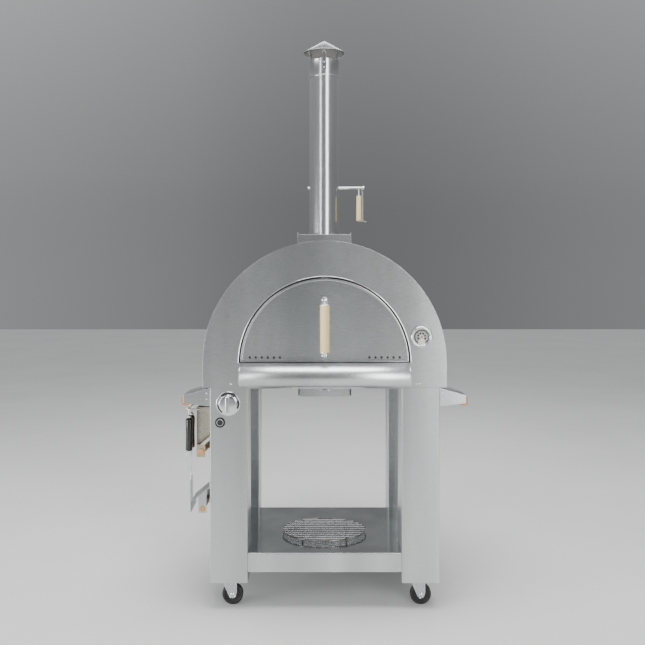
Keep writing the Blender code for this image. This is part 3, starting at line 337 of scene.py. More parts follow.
DEFAULT = {"brushed_steel": "panel", "polished_steel": "rod"}  # the other slots have their own names


# ---- meshes


def place(axis, u, v, w):
    """Outline point (u, v) at distance w along an axis: XZ on Y, YZ on X and XY on Z."""
    return Vector({"X": (w, u, v), "Y": (u, w, v), "Z": (u, v, w)}[axis])


def arc(u, v, radius, start, end, steps):
    angles = [math.radians(start + (end - start) * i / steps) for i in range(steps + 1)]
    return [(u + radius * math.cos(a), v + radius * math.sin(a)) for a in angles]


def bridge(bm, rings, closed):
    """Faces from ring to ring, and then back to the first ring if closed or over both ends if not."""
    pairs = list(zip(rings, rings[1:])) + ([(rings[-1], rings[0])] if closed else [])
    for ring, following in pairs:
        sides = max(len(ring), len(following))
        for i in range(sides if sides > 1 else 0):
            quad = [ring[i % len(ring)], ring[(i + 1) % len(ring)]]
            quad += [following[(i + 1) % len(following)], following[i % len(following)]]
            bm.faces.new(list(dict.fromkeys(quad)))
    for end in () if closed else (rings[0], rings[-1]):
        if len(end) > 1:
            bm.faces.new(end)


def layered(layers, axis):
    """Solid skinned over a stack of outlines with equal counts of points."""
    bm = bmesh.new()
    rings = [[bm.verts.new(place(axis, u, v, w)) for u, v in outline] for outline, w in layers]
    bridge(bm, rings, False)
    return bm


def prism(outline, axis, start, end):
    return layered([(outline, start), (outline, end)], axis)


def block(low, high):
    corners = [(low[0], low[1]), (high[0], low[1]), (high[0], high[1]), (low[0], high[1])]
    return prism(corners, "Z", low[2], high[2])


def turned(profile, axis, centre, sides=64, closed=True):
    """Profile of (radius, height) points turned about an axis through centre."""
    bm = bmesh.new()
    rings = []
    for radius, height in profile:
        count = 1 if radius < 1e-7 else sides
        angles = [TAU * (i + 0.5) / sides for i in range(count)]
        rings.append([bm.verts.new((radius * math.cos(a), radius * math.sin(a), height)) for a in angles])
    bridge(bm, rings, closed)
    turns = {"Z": Matrix(), "Y": Matrix.Rotation(-QUARTER, 4, "X"), "X": Matrix.Rotation(QUARTER, 4, "Y")}
    bmesh.ops.transform(bm, matrix=Matrix.Translation(centre) @ turns[axis], verts=bm.verts)
    return bm


def dome_head(radius, height, steps=6):
    """Profile of a low domed head, from its rim to its middle."""
    turns = [QUARTER * i / steps for i in range(steps + 1)]
    return [(radius * math.cos(t), height * math.sin(t)) for t in turns]


def rounded_path(corners, radius, steps):
    """Points along straight runs between corners, with a curve at each corner."""
    corners = [Vector(corner) for corner in corners]
    points = [corners[0]]
    for before, corner, after in zip(corners, corners[1:], corners[2:]):
        start = corner + (before - corner).normalized() * radius
        end = corner + (after - corner).normalized() * radius
        for i in range(steps + 1):
            t = i / steps
            points.append(start * (1 - t) ** 2 + corner * 2 * t * (1 - t) + end * t**2)
    return points + [corners[-1]]


def swept(points, radius, sides=16, closed=False):
    """Round rod along points, with its ends closed and its section kept from twisting."""
    points = [Vector(point) for point in points]
    bm = bmesh.new()
    count = len(points)
    across = None
    rings = []
    for i, point in enumerate(points):
        before = points[i - 1] if i or closed else points[0]
        after = points[(i + 1) % count] if i < count - 1 or closed else points[-1]
        along = (after - before).normalized()
        if across is None:
            across = along.orthogonal().normalized()
        across = (across - along * across.dot(along)).normalized()
        other = along.cross(across)
        angles = [TAU * k / sides for k in range(sides)]
        ring = [point + (across * math.cos(a) + other * math.sin(a)) * radius for a in angles]
        rings.append([bm.verts.new(corner) for corner in ring])
    bridge(bm, rings, closed)
    return bm


def joined(meshes):
    """One bmesh that holds several, each still its own closed shell."""
    whole = bmesh.new()
    for bm in meshes:
        mesh = bpy.data.meshes.new("part")
        bm.to_mesh(mesh)
        bm.free()
        whole.from_mesh(mesh)
        bpy.data.meshes.remove(mesh)
    return whole


def turn_about(bm, angle, centre):
    """Turns a bmesh about an upright axis through centre."""
    matrix = Matrix.Translation(centre) @ Matrix.Rotation(angle, 4, "Z") @ Matrix.Translation(-Vector(centre))
    bmesh.ops.transform(bm, matrix=matrix, verts=bm.verts)
    return bm


def mesh_of(bm, name):
    """Mesh from a bmesh, with its doubles merged and its faces looking out."""
    bmesh.ops.remove_doubles(bm, verts=bm.verts, dist=MERGE)
    bmesh.ops.recalc_face_normals(bm, faces=bm.faces)
    mesh = bpy.data.meshes.new(name)
    bm.to_mesh(mesh)
    bm.free()
    return mesh


def added(name, data):
    """New object in the scene."""
    obj = bpy.data.objects.new(name, data)
    bpy.context.scene.collection.objects.link(obj)
    return obj


def piece(name, bm, material, body, stands_for=(), bevel=0.0, segments=3):
    """Object from a bmesh that rides on a body, takes a slot's finish and may stand for CAD nodes."""
    mesh = mesh_of(bm, name)
    mesh.shade_smooth()
    mesh.set_sharp_from_angle(angle=SHARP)
    mesh.materials.append(M[material])
    obj = added(name, mesh)
    if bevel:
        soften(obj, bevel, segments)
    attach(obj, body)
    if stands_for:
        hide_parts(*stands_for)
    return obj


def soften(obj, width, segments):
    """Rounds the hard edges, and keeps the shading of the flat faces even."""
    modifier = obj.modifiers.new("rounded edges", "BEVEL")
    modifier.width = width
    modifier.segments = segments
    modifier.limit_method = "ANGLE"
    modifier.angle_limit = math.radians(35)
    apply_modifier(obj, "rounded edges")
    obj.data.shade_smooth()
    obj.data.set_sharp_from_angle(angle=SHARP)
    even_shading(obj)


def even_shading(obj):
    if "even shading" not in obj.modifiers:
        modifier = obj.modifiers.new("even shading", "WEIGHTED_NORMAL")
        modifier.keep_sharp = True


def stand_in(node, bm, material=None, bevel=0.0, segments=3):
    """Finer mesh that is shown in place of a CAD node."""
    slot = SLOT_OF[node]
    made = material or DEFAULT.get(slot, slot)
    return piece(f"{node}_skin", bm, made, BODY_OF[node], (node,), bevel, segments)


def refined(node, material=None, bevel=0.0006, segments=2):
    """Copy of a CAD node's mesh with its coplanar faces joined and its hard edges rounded."""
    bm = bmesh.new()
    bm.from_mesh(frame["nodes"][node].data)
    bmesh.ops.remove_doubles(bm, verts=bm.verts, dist=1e-5)
    bmesh.ops.dissolve_limit(bm, angle_limit=math.radians(1), verts=bm.verts, edges=bm.edges)
    return stand_in(node, bm, material, bevel, segments)


def trim(name, bm, node, material="bright", bevel=0.0, segments=2):
    """Small piece that rides on a CAD node's body and takes the finish given to it."""
    return piece(name, bm, material, BODY_OF[node], (), bevel, segments)


def carve(obj, *meshes):
    """Cuts shapes out of an object and leaves no helper behind."""
    cutter = added("cutter", mesh_of(joined(meshes), "cutter"))
    modifier = obj.modifiers.new("cut", "BOOLEAN")
    modifier.object = cutter
    modifier.solver = "EXACT"
    obj.modifiers.move(len(obj.modifiers) - 1, 0)
    apply_modifier(obj, "cut")
    bpy.data.objects.remove(cutter)
    obj.data.set_sharp_from_angle(angle=SHARP)
    even_shading(obj)


def apply_modifier(obj, name):
    with bpy.context.temp_override(object=obj, active_object=obj, selected_objects=[obj]):
        bpy.ops.object.modifier_apply(modifier=name)


def middle(node):
    low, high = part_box(node)
    return (low + high) / 2


def cylinder(radius, axis, centre, start, end, sides=32):
    return turned([(0, start), (radius, start), (radius, end), (0, end)], axis, centre, sides, False)


def screw(name, node, x, y, z, radius=0.0036, facing=-1):
    """Low domed head on a face that looks along Y."""
    height = radius * 0.45
    profile = [(r, y + facing * h) for r, h in dome_head(radius, height)]
    trim(name, turned([(0, y), *profile], "Y", (x, 0, z), 20, False), node)


# ---- arched body


PANEL_LOW, PANEL_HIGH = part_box("front_panel")
BODY_R = (PANEL_HIGH.x - PANEL_LOW.x) / 2
ARCH_Z = PANEL_HIGH.z - BODY_R
FRONT_Y = PANEL_LOW.y
BASE_Z = PANEL_LOW.z
DOOR_LOW, DOOR_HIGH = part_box("door_panel")
DOOR_R = DOOR_HIGH.z - ARCH_Z
OPENING_R = DOOR_R + 0.0055
FLUE_R = (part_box("flue_pipe")[1].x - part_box("flue_pipe")[0].x) / 2
DAMPER_DISC_R = FLUE_R - 0.006
DAMPER_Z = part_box("damper_valve")[1].z - DAMPER_DISC_R


def arch(radius, base_z):
    """Outline of a half round on straight sides down to base_z, or cut off level with base_z."""
    steps = 96
    rise = base_z - ARCH_Z
    if rise > MERGE:
        lift = math.degrees(math.asin(rise / radius))
        return arc(0, ARCH_Z, radius, lift, 180 - lift, steps)
    top = arc(0, ARCH_Z, radius, 0, 180, steps)
    return top if abs(rise) < MERGE else [(radius, base_z), *top, (-radius, base_z)]


def body_shell():
    """Front panel with a rolled edge, the casing behind it, and the rear panel with its screws."""
    depth = PANEL_HIGH.y - PANEL_LOW.y
    edge = 0.0012
    steps = [(edge, 0), (edge * 0.3, edge * 0.3), (0, edge), (0, depth)]
    layers = [(arch(BODY_R - inset, BASE_Z + inset), FRONT_Y + along) for inset, along in steps]
    front = stand_in("front_panel", layered(layers, "Y"))
    carve(front, prism(arch(OPENING_R, ARCH_Z), "Y", FRONT_Y - PAST, FRONT_Y + PAST))
    lip = [(u, FRONT_Y - 0.0002, v) for u, v in arch(OPENING_R + 0.0014, ARCH_Z + 0.0005)]
    trim("opening_lip", swept(lip, 0.0017, 10), "front_panel")
    low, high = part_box("outer_casing")
    sheet, flue_hole_r = 0.002, 0.064
    outline = arch(BODY_R, BASE_Z) + arch(BODY_R - sheet, BASE_Z)[::-1]
    casing = stand_in("outer_casing", prism(outline, "Y", low.y, high.y), "casing")
    flue_y = middle("flue_pipe").y
    carve(casing, cylinder(flue_hole_r, "Z", (0, flue_y, 0), ARCH_Z + 0.3, ARCH_Z + 0.6))
    low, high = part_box("rear_panel")
    steps = [(0, low.y), (0, high.y - edge), (edge, high.y)]
    rear = [(arch(BODY_R - inset, BASE_Z + inset), y) for inset, y in steps]
    stand_in("rear_panel", layered(rear, "Y"))
    screw_inset, screw_r = 0.018, 0.0042
    for i, (x, z) in enumerate(arc(0, ARCH_Z, BODY_R - screw_inset, 8, 172, 8)):
        screw(f"rear_screw_{i}", "rear_panel", x, high.y, z, screw_r, 1)
    leg_x = middle("leg_front_left").x
    for i, x in enumerate((leg_x + 0.008, -leg_x - 0.013, -leg_x - 0.002)):
        screw(f"front_screw_{i}", "front_panel", x, FRONT_Y, BASE_Z + 0.0135)


def hearth():
    refined("base_pan", "panel", 0.0006)
    refined("inner_dome", "soot", 0.0005)
    refined("insulation_jacket", "ceramic_fibre", 0.001)
    for node in ("baking_stone_left", "baking_stone_right"):
        refined(node, "baking_stone", 0.0022, 3)


def door():
    """Dished panel with round vents darkened by painted shade, a clip over its top, and the liner behind."""
    sill, front, back = DOOR_LOW.z, DOOR_LOW.y, DOOR_HIGH.y
    rim, dish, roll = 0.009, 0.008, 0.0024
    face = front + dish
    steps = [(rim, face), (rim - 0.0004, front + 0.0022), (rim - 0.0010, front + 0.0007)]
    steps += [(rim - roll, front), (roll, front), (0.0007, front + 0.0007), (0, front + roll), (0, back)]
    layers = [(arch(DOOR_R - inset, sill + inset), y) for inset, y in steps]
    panel = stand_in("door_panel", layered(layers, "Y"), "door")
    pitch, first, z, vent_r = 0.0224, 0.166, sill + 0.016, 0.0045
    holes, painted_vent_shade = [], []
    for i in range(6):
        for side in (-1, 1):
            centre = (side * (first + pitch * i), 0, z)
            holes.append(cylinder(vent_r, "Y", centre, front - 0.01, back + 0.01, 20))
            painted_vent_shade.append(cylinder(vent_r + 0.0002, "Y", centre, face + 0.0022, back - 0.0010, 20))
    carve(panel, *holes)
    # painted shade: black discs set inside the vent holes stand for the shade within them
    trim("vent_painted_shade_discs", joined(painted_vent_shade), "door_panel", "print_and_shade")
    refined("door_liner", "panel", 0.0003)
    clip_z = DOOR_HIGH.z - 0.004
    outline = [(-0.009, clip_z), (0.009, clip_z), (0.007, clip_z + 0.0085), (-0.007, clip_z + 0.0085)]
    trim("door_clip", prism(outline, "Y", front - 0.0030, front - 0.0002), "door_panel", bevel=0.0008)
    handle(face)


def handle(face):
    """Bent rod on two round feet, with the turned grip between its steel ferrules."""
    low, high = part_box("door_handle_rod")
    radius = (high.x - low.x) / 2
    y, bottom, top = low.y + radius, low.z + radius, high.z - radius
    foot = high.y
    corners = [(0, foot, top), (0, y, top), (0, y, bottom), (0, foot, bottom)]
    stand_in("door_handle_rod", swept(rounded_path(corners, 0.012, 10), radius, 24), "bright")
    for name, z in (("upper", top), ("lower", bottom)):
        profile = [(radius, face - 0.0075), (radius + 0.0022, face - 0.0070), (0.0105, face - 0.0030)]
        profile += [(0.0110, face - 0.0015), (0.0110, face - 0.0002), (radius, face - 0.0002)]
        trim(f"handle_foot_{name}", turned(profile, "Y", (0, 0, z), 40), "door_handle_rod")
    low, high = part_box("door_grip")
    grip_r = (high.x - low.x) / 2
    cap = 0.0068
    bore, base, crown = radius + 0.0005, low.z + cap, high.z - cap
    profile = [(bore, base), *arc(grip_r - 0.0015, base + 0.0015, 0.0015, -90, 0, 4)]
    profile += [(grip_r + 0.0002, (base + crown) / 2)]
    profile += [*arc(grip_r - 0.0015, crown - 0.0015, 0.0015, 0, 90, 4), (bore, crown)]
    stand_in("door_grip", turned(profile, "Z", (0, y, 0), 48), "wood")
    for name, start, end in (("lower", base - 0.0002, low.z), ("upper", crown + 0.0002, high.z)):
        toward = 1 if end > start else -1
        profile = [(bore, start), (grip_r - 0.0004, start), (grip_r - 0.0003, start + toward * 0.0015)]
        profile += [(0.0100, end - toward * 0.0008), (0.0090, end), (bore, end)]
        trim(f"grip_ferrule_{name}", turned(profile, "Z", (0, y, 0), 48), "door_grip")


def ledge():
    """Rolled ledge whose ends are closed by plates with a small round edge."""
    low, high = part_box("front_ledge")
    nose = (high.z - low.z) / 2
    centre_y, centre_z = low.y + nose, (low.z + high.z) / 2

    def outline(inset):
        round_part = arc(centre_y, centre_z, nose - inset, 90, 270, 40)
        return [(high.y, high.z - inset), *round_part, (high.y, low.z + inset)]

    edge = 0.0014
    steps = [(edge, 0.0), (edge * 0.3, edge * 0.3), (0.0, edge)]
    layers = [(outline(inset), low.x + along) for inset, along in steps]
    layers += [(outline(inset), high.x - along) for inset, along in reversed(steps)]
    stand_in("front_ledge", layered(layers, "X"), "panel")
    seam = [(outline(-0.0003), 0.0), (outline(-0.0003), 0.0009)]
    for side, x in (("left", low.x + 0.0022), ("right", high.x - 0.0031)):
        rim = layered([(points, x + along) for points, along in seam], "X")
        trim(f"ledge_end_{side}", rim, "front_ledge")


def drawer():
    refined("drawer_runner", "panel", 0.0003)
    refined("ash_drawer", "panel", 0.0004)
    low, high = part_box("ash_drawer")
    for name, x in (("left", -0.0165), ("right", 0.0165)):
        screw(f"drawer_rivet_{name}", "ash_drawer", x, low.y, high.z - 0.008, 0.0026)


def flue():
    """Pipe with its lap seam, beaded sleeve, straps with rivets, and the rain cap."""
    low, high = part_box("flue_pipe")
    centre = (*middle("flue_pipe").xy, 0)
    radius, wall = FLUE_R, 0.0015
    profile = [(radius - wall, low.z), (radius, low.z), (radius, high.z), (radius - wall, high.z)]
    pipe = stand_in("flue_pipe", turned(profile, "Z", centre, 96), "flue")
    rod_hole_r = 0.0056
    carve(pipe, cylinder(rod_hole_r, "X", (0, centre[1], DAMPER_Z), -radius - PAST, radius + PAST, 24))
    back_y, seam_half = centre[1] + radius, 0.004
    seam = block((-seam_half, back_y - 0.0004, low.z + 0.16), (seam_half, back_y + 0.0009, high.z - 0.04))
    trim("flue_seam", seam, "flue_pipe", "flue", 0.0004)

    low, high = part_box("flue_sleeve")
    inner, outer, top = radius + 0.0006, radius + 0.0022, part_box("rain_cap")[0].z - 0.030
    profile = [(inner, low.z), (outer + 0.0010, low.z), (outer + 0.0013, low.z + 0.0012)]
    profile += [(outer + 0.0010, low.z + 0.0024), (outer, low.z + 0.0034), (outer, top - 0.0030)]
    profile += [(outer + 0.0007, top - 0.0018), (outer + 0.0007, top), (inner, top)]
    stand_in("flue_sleeve", turned(profile, "Z", centre, 96), "flue")
    strap_half = 0.008
    for i, angle in enumerate((-90, 30, 150)):
        turn = math.radians(angle)
        x = centre[0] + outer
        near, far = centre[1] - strap_half, centre[1] + strap_half
        strap = block((x - 0.0002, near, low.z + 0.020), (x + 0.0018, far, high.z))
        trim(f"cap_strap_{i}", turn_about(strap, turn, centre), "flue_sleeve", bevel=0.0005)
        for k, z in enumerate((low.z + 0.030, low.z + 0.052)):
            head = turned([(0, 0), *dome_head(0.0030, 0.0014)], "X", (x + 0.0017, centre[1], z), 16, False)
            trim(f"strap_rivet_{i}{k}", turn_about(head, turn, centre), "flue_sleeve")

    low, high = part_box("rain_cap")
    cap_r, thin = (high.x - low.x) / 2, 0.0012
    profile = [(0, high.z - 0.0006), (0.006, high.z - 0.0022), (cap_r - 0.001, low.z + 0.0028)]
    profile += arc(cap_r - 0.0014, low.z + 0.0014, 0.0014, 70, -110, 6)
    profile += [(0.006, high.z - 0.0022 - thin * 2), (0, high.z - 0.003)]
    stand_in("rain_cap", turned(profile, "Z", centre, 96, False), "cap")
    rim = cap_r - 0.006
    # painted shade: a dark cone just under the rain cap stands for the shade beneath it
    shade = [(0, high.z - 0.0042), (rim, low.z + 0.0012), (rim, low.z + 0.0002), (0, high.z - 0.0058)]
    trim("cap_painted_shade", turned(shade, "Z", centre, 96, False), "rain_cap", "dark")
    seat, rise = high.z - 0.0014, 0.0014
    rivet = [(0, seat), *((r, seat + h) for r, h in dome_head(0.0045, rise))]
    trim("cap_rivet", turned(rivet, "Z", centre, 20, False), "rain_cap")


def damper():
    """Rod with its acorn nut, butterfly disc, strip, foot and tapered grip."""
    low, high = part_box("damper_valve")
    grip_low, grip_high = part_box("damper_grip")
    y, z = (low.y + high.y) / 2, DAMPER_Z
    grip = ((grip_low.x + grip_high.x) / 2, y, 0)
    strip_x, foot_z, rod_r = high.x - 0.0175, low.z, 0.0048
    stand_in("damper_valve", cylinder(rod_r, "X", (0, y, z), low.x, strip_x + 0.002, 28), "bright")
    disc = cylinder(DAMPER_DISC_R, "Y", (0, 0, z), y - 0.001, y + 0.001, 64)
    trim("damper_disc", disc, "damper_valve", "panel")
    trim("damper_stem", cylinder(0.0040, "Z", grip, foot_z + 0.001, z, 24), "damper_valve")
    strip = block((strip_x, y - 0.009, foot_z), (strip_x + 0.005, y + 0.009, z + 0.007))
    trim("damper_strip", strip, "damper_valve", bevel=0.0009)
    foot = block((grip[0] - 0.006, y - 0.009, foot_z), (high.x, y + 0.009, foot_z + 0.004))
    trim("damper_foot", foot, "damper_valve", bevel=0.0009)
    nut = [(0, strip_x + 0.0049), (0.0085, strip_x + 0.0049), (0.0085, strip_x + 0.0085)]
    nut += [(0.0050, strip_x + 0.0110), (0, strip_x + 0.0122)]
    trim("damper_nut", turned(nut, "X", (0, y, z), 6, False), "damper_valve", bevel=0.0004)
    radius = (grip_high.x - grip_low.x) / 2
    bore, base, top = 0.0046, grip_low.z, grip_high.z
    profile = [(bore, base), *arc(radius - 0.003, base + 0.003, 0.003, -90, 0, 5)]
    profile += [*arc(radius - 0.0042, top - 0.003, 0.003, 0, 90, 5), (bore, top)]
    stand_in("damper_grip", turned(profile, "Z", grip, 40), "wood")


def ring_sector(inner, outer, x, z, start, end, steps=20):
    return arc(x, z, outer, start, end, steps) + arc(x, z, inner, end, start, steps)


def thermometer():
    """Thick round bezel, printed dial with ticks, pointer and glass."""
    low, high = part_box("thermometer_case")
    x, z = middle("thermometer_case").xz
    outer, front, floor = (high.x - low.x) / 2, low.y, FRONT_Y - 0.0053
    pocket, back = 0.0285, FRONT_Y - 0.0003
    half, crown = (outer - pocket) / 2, 0.0052
    turns = [math.pi * i / 14 for i in range(15)]
    bezel = [(pocket + half - half * math.cos(t), front + crown - crown * math.sin(t)) for t in turns]
    profile = [(0, floor), (pocket, floor), *bezel, (outer, back - 0.001), (outer - 0.001, back)]
    profile += [(0.006, back), (0.006, high.y), (0, high.y)]
    stand_in("thermometer_case", turned(profile, "Y", (x, 0, z), 72, False), "bright")
    dial = cylinder(pocket - 0.0003, "Y", (x, 0, z), floor - 0.0004, floor - 0.00002, 64)
    trim("thermometer_dial", dial, "thermometer_case", "white")
    printed, tick_r = [], 0.0236
    for i in range(31):
        turn = math.radians(225 - 9 * i)
        length, width = (0.0060, 0.0011) if i % 5 == 0 else (0.0040, 0.0006)
        along, across = Vector((math.cos(turn), math.sin(turn))), Vector((-math.sin(turn), math.cos(turn)))
        corners = ((tick_r, -width), (tick_r - length, -width), (tick_r - length, width), (tick_r, width))
        printed.append([Vector((x, z)) + along * a + across * b for a, b in corners])
    printed.append(ring_sector(0.0230, 0.0274, x, z, -60, 240, 64))
    for start in range(218, -52, -45):
        printed.append(ring_sector(0.0095, 0.0180, x, z, start - 34, start, 8))
    marks = [prism(outline, "Y", floor - 0.0006, floor - 0.0004) for outline in printed]
    trim("thermometer_marks", joined(marks), "thermometer_case", "print_and_shade")
    refined("thermometer_needle", "needle_red", 0.0002)
    low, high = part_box("thermometer_lens")
    profile = [(0, low.y), (pocket - 0.008, low.y + 0.0001), (pocket - 0.0008, low.y + 0.0006)]
    profile += [(pocket - 0.0005, low.y + 0.0009), (pocket - 0.0005, high.y), (0, high.y)]
    stand_in("thermometer_lens", turned(profile, "Y", (x, 0, z), 64, False), "clear_glass")


def gas_controls():
    """Knob with its bar over a marked bezel, and the push button below it."""
    low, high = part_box("gas_knob")
    x, z = middle("gas_knob").xz
    nose, back, skirt, rim = low.y, high.y, high.y - 0.0102, (high.x - low.x) / 2
    profile = [(0.0048, back), (rim - 0.001, back), (rim, back - 0.001), (rim - 0.0006, skirt + 0.0030)]
    profile += [*arc(rim - 0.0036, skirt + 0.0030, 0.0030, 0, -90, 5), (rim - 0.008, skirt - 0.0004)]
    profile += [(0, skirt - 0.0012), (0, skirt + 0.003), (0.0048, skirt + 0.003)]
    stand_in("gas_knob", turned(profile, "Y", (x, 0, z), 72), "bright")
    bar_half, bar_reach = 0.0075, 0.0300
    bar = block((x - bar_half, nose, z - bar_reach), (x + bar_half, skirt - 0.0002, z + bar_reach))
    trim("knob_bar", bar, "gas_knob", bevel=0.0030, segments=4)
    pointer = block((x - 0.0009, nose - 0.0002, z + 0.0120), (x + 0.0009, nose + 0.0006, z + 0.0265))
    trim("knob_pointer", pointer, "gas_knob", "print_and_shade")
    refined("valve_spindle", "brass", 0.0003)
    low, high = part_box("knob_bezel")
    outer, front = (high.x - low.x) / 2, low.y
    profile = [(0.007, front), (outer - 0.0030, front), *arc(outer - 0.003, front + 0.003, 0.003, -90, 0, 5)]
    profile += [(outer, high.y), (0.007, high.y)]
    stand_in("knob_bezel", turned(profile, "Y", (x, 0, z), 72), "bright")
    bands = [ring_sector(0.0350, 0.0415, x, z, *ends) for ends in ((48, 132), (-28, 18), (186, 236))]
    marks = [prism(band, "Y", front - 0.0002, front + 0.0002) for band in bands]
    trim("knob_marks", joined(marks), "knob_bezel", "print_and_shade")

    low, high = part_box("igniter_housing")
    x, z = middle("igniter_housing").xz
    flange = (high.x - low.x) / 2
    seat, bore, barrel = FRONT_Y - 0.0003, 0.0095, 0.0145
    bore_end = FRONT_Y + 0.038
    profile = [(0, bore_end), (bore, bore_end), (bore, low.y + 0.0006), (bore + 0.001, low.y)]
    profile += [*arc(flange - 0.0016, low.y + 0.0016, 0.0016, -90, 0, 4), (flange, seat)]
    profile += [(barrel, seat), (barrel, high.y), (0, high.y)]
    stand_in("igniter_housing", turned(profile, "Y", (x, 0, z), 56, False), "gloss")
    ring = [(bore + 0.0004, low.y + 0.0002), (bore + 0.0012, low.y - 0.0008), (bore + 0.0028, low.y - 0.0008)]
    ring.append((bore + 0.0036, low.y + 0.0002))
    trim("igniter_ring", turned(ring, "Y", (x, 0, z), 48), "igniter_housing")
    low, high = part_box("igniter_button")
    radius = (high.x - low.x) / 2
    profile = [(0, low.y + 0.0012), (radius * 0.5, low.y + 0.0008)]
    profile += [*arc(radius - 0.0016, low.y + 0.0016, 0.0016, -90, 0, 4), (radius, high.y), (0, high.y)]
    stand_in("igniter_button", turned(profile, "Y", (x, 0, z), 48, False), "black_plastic")
    refined("gas_valve", "brass", 0.0006)
    refined("gas_pipe", "brass", 0.0)
    refined("burner_tube", "rod", 0.0004)


def rounded_box(low, high, radius, steps=4):
    """Outline of a rectangle with round corners."""
    near, far = (low[0] + radius, low[1] + radius), (high[0] - radius, high[1] - radius)
    corners = ((far[0], near[1], -90), (*far, 0), (near[0], far[1], 90), (*near, 180))
    return [point for u, v, turn in corners for point in arc(u, v, radius, turn, turn + 90, steps)]


def legs():
    """Folded square legs with round long edges, open above and below their floors."""
    sheet, recess, corner, stem_hole_r = 0.002, 0.008, 0.0030, 0.0068
    for spot in LEG_SPOTS:
        node = f"leg_{spot}"
        low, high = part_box(node)
        outline = rounded_box(low, high, corner)
        leg = stand_in(node, prism(outline, "Z", low.z, high.z), "leg", 0.0006, 2)
        inner_low, inner_high = (low.x + sheet, low.y + sheet), (high.x - sheet, high.y - sheet)
        inner = rounded_box(inner_low, inner_high, corner - 0.0012)
        rooms = [prism(inner, "Z", low.z - PAST, low.z + recess)]
        rooms.append(prism(inner, "Z", low.z + recess + sheet, high.z + PAST))
        rooms.append(cylinder(stem_hole_r, "Z", (*middle(node).xy, 0), low.z, low.z + recess + 0.006, 24))
        carve(leg, *rooms)
        if node == "leg_front_left":
            carve(leg, *control_holes(low.y, high.y))


def control_holes(front, back):
    """Cutters for the knob's spindle, the push button and the gas pipe."""
    knob, button = middle("gas_knob"), middle("igniter_button")
    holes = ((0.007, knob, front), (0.0150, button, front), (0.009, knob, back))
    return [cylinder(r, "Y", (at.x, 0, at.z), y - 0.01, y + 0.01) for r, at, y in holes]


def shelf():
    """Lower shelf with round folds, wider between the front and the rear legs."""
    low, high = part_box("lower_shelf")
    gap, leg_inner = 0.0003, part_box("leg_front_left")[1]
    step_y, narrow, wide = leg_inner.y + gap, -leg_inner.x - gap, high.x

    def outline(inset):
        half, far = narrow - inset, wide - inset
        right = [(half, low.y + inset), (half, step_y + inset), (far, step_y + inset), (far, high.y - inset)]
        return right + [(-x, y) for x, y in reversed(right)]

    fold, sheet = 0.0040, 0.002
    turns = [QUARTER * i / 6 for i in range(7)]
    layers = [(outline(fold - fold * math.sin(t)), high.z - fold + fold * math.cos(t)) for t in turns]
    layers.append((outline(0), low.z))
    plate = stand_in("lower_shelf", layered(layers, "Z"), "shelf")
    carve(plate, prism(outline(sheet), "Z", low.z - PAST, high.z - sheet * 1.5))


def brackets():
    """Side brackets with folded flanges, each with a wooden bar between its cheeks."""
    for side, sign in (("left", -1), ("right", 1)):
        low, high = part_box(f"bracket_{side}")
        near, far = sorted((abs(low.x), abs(high.x)))
        tip = far - 0.001
        outer = [(near, low.z), (near, high.z), (tip, high.z - 0.0275), (far, high.z - 0.057)]
        sheet, past = 0.002, far + PAST
        wall, under = near + sheet, low.z - PAST
        room = [(wall, under), (wall, high.z - 0.0026), (past, high.z - 0.0346), (past, under)]
        outer, room = ([(sign * u, v) for u, v in points] for points in (outer, room))
        made = stand_in(f"bracket_{side}", prism(outer, "Y", low.y, high.y), "leg", 0.0016, 3)
        carve(made, prism(room, "Y", low.y + sheet, high.y - sheet))
        low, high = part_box(f"bracket_grip_{side}")
        bar = prism(rounded_box((low.x, low.z), (high.x, high.z), 0.009, 6), "Y", low.y, high.y)
        stand_in(f"bracket_grip_{side}", bar, "wood_side", 0.0012, 2)
        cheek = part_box(f"bracket_{side}")[0].y
        for k, z in enumerate((high.z - 0.012, high.z + 0.010)):
            screw(f"bracket_screw_{side}_{k}", f"bracket_{side}", sign * (near + 0.012), cheek, z, 0.0030)


def tool_rack():
    """Sloping plate and lower strip with their wooden rails, and the bent tool rail."""
    refined("rack_plate", "rack", 0.0005)
    refined("rack_strip", "leg", 0.0005)
    for node in ("rack_rail_upper", "rack_rail_lower"):
        refined(node, "wood_side", 0.0014, 3)
    low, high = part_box("tool_rail")
    radius = (high.z - low.z) / 2
    x, z = low.x + radius, (low.z + high.z) / 2
    near, far = low.y + radius, high.y - radius
    corners = [(high.x, near, z), (x, near, z), (x, far, z), (high.x, far, z)]
    stand_in("tool_rail", swept(rounded_path(corners, 0.006, 8), radius, 20), "bright")


def ring(centre, major, wire):
    """Upright wire ring that faces along Y."""
    points = [(u, centre[1], v) for u, v in arc(centre[0], centre[2], major, 0, 351, 39)]
    return swept(points, wire, 14, True)


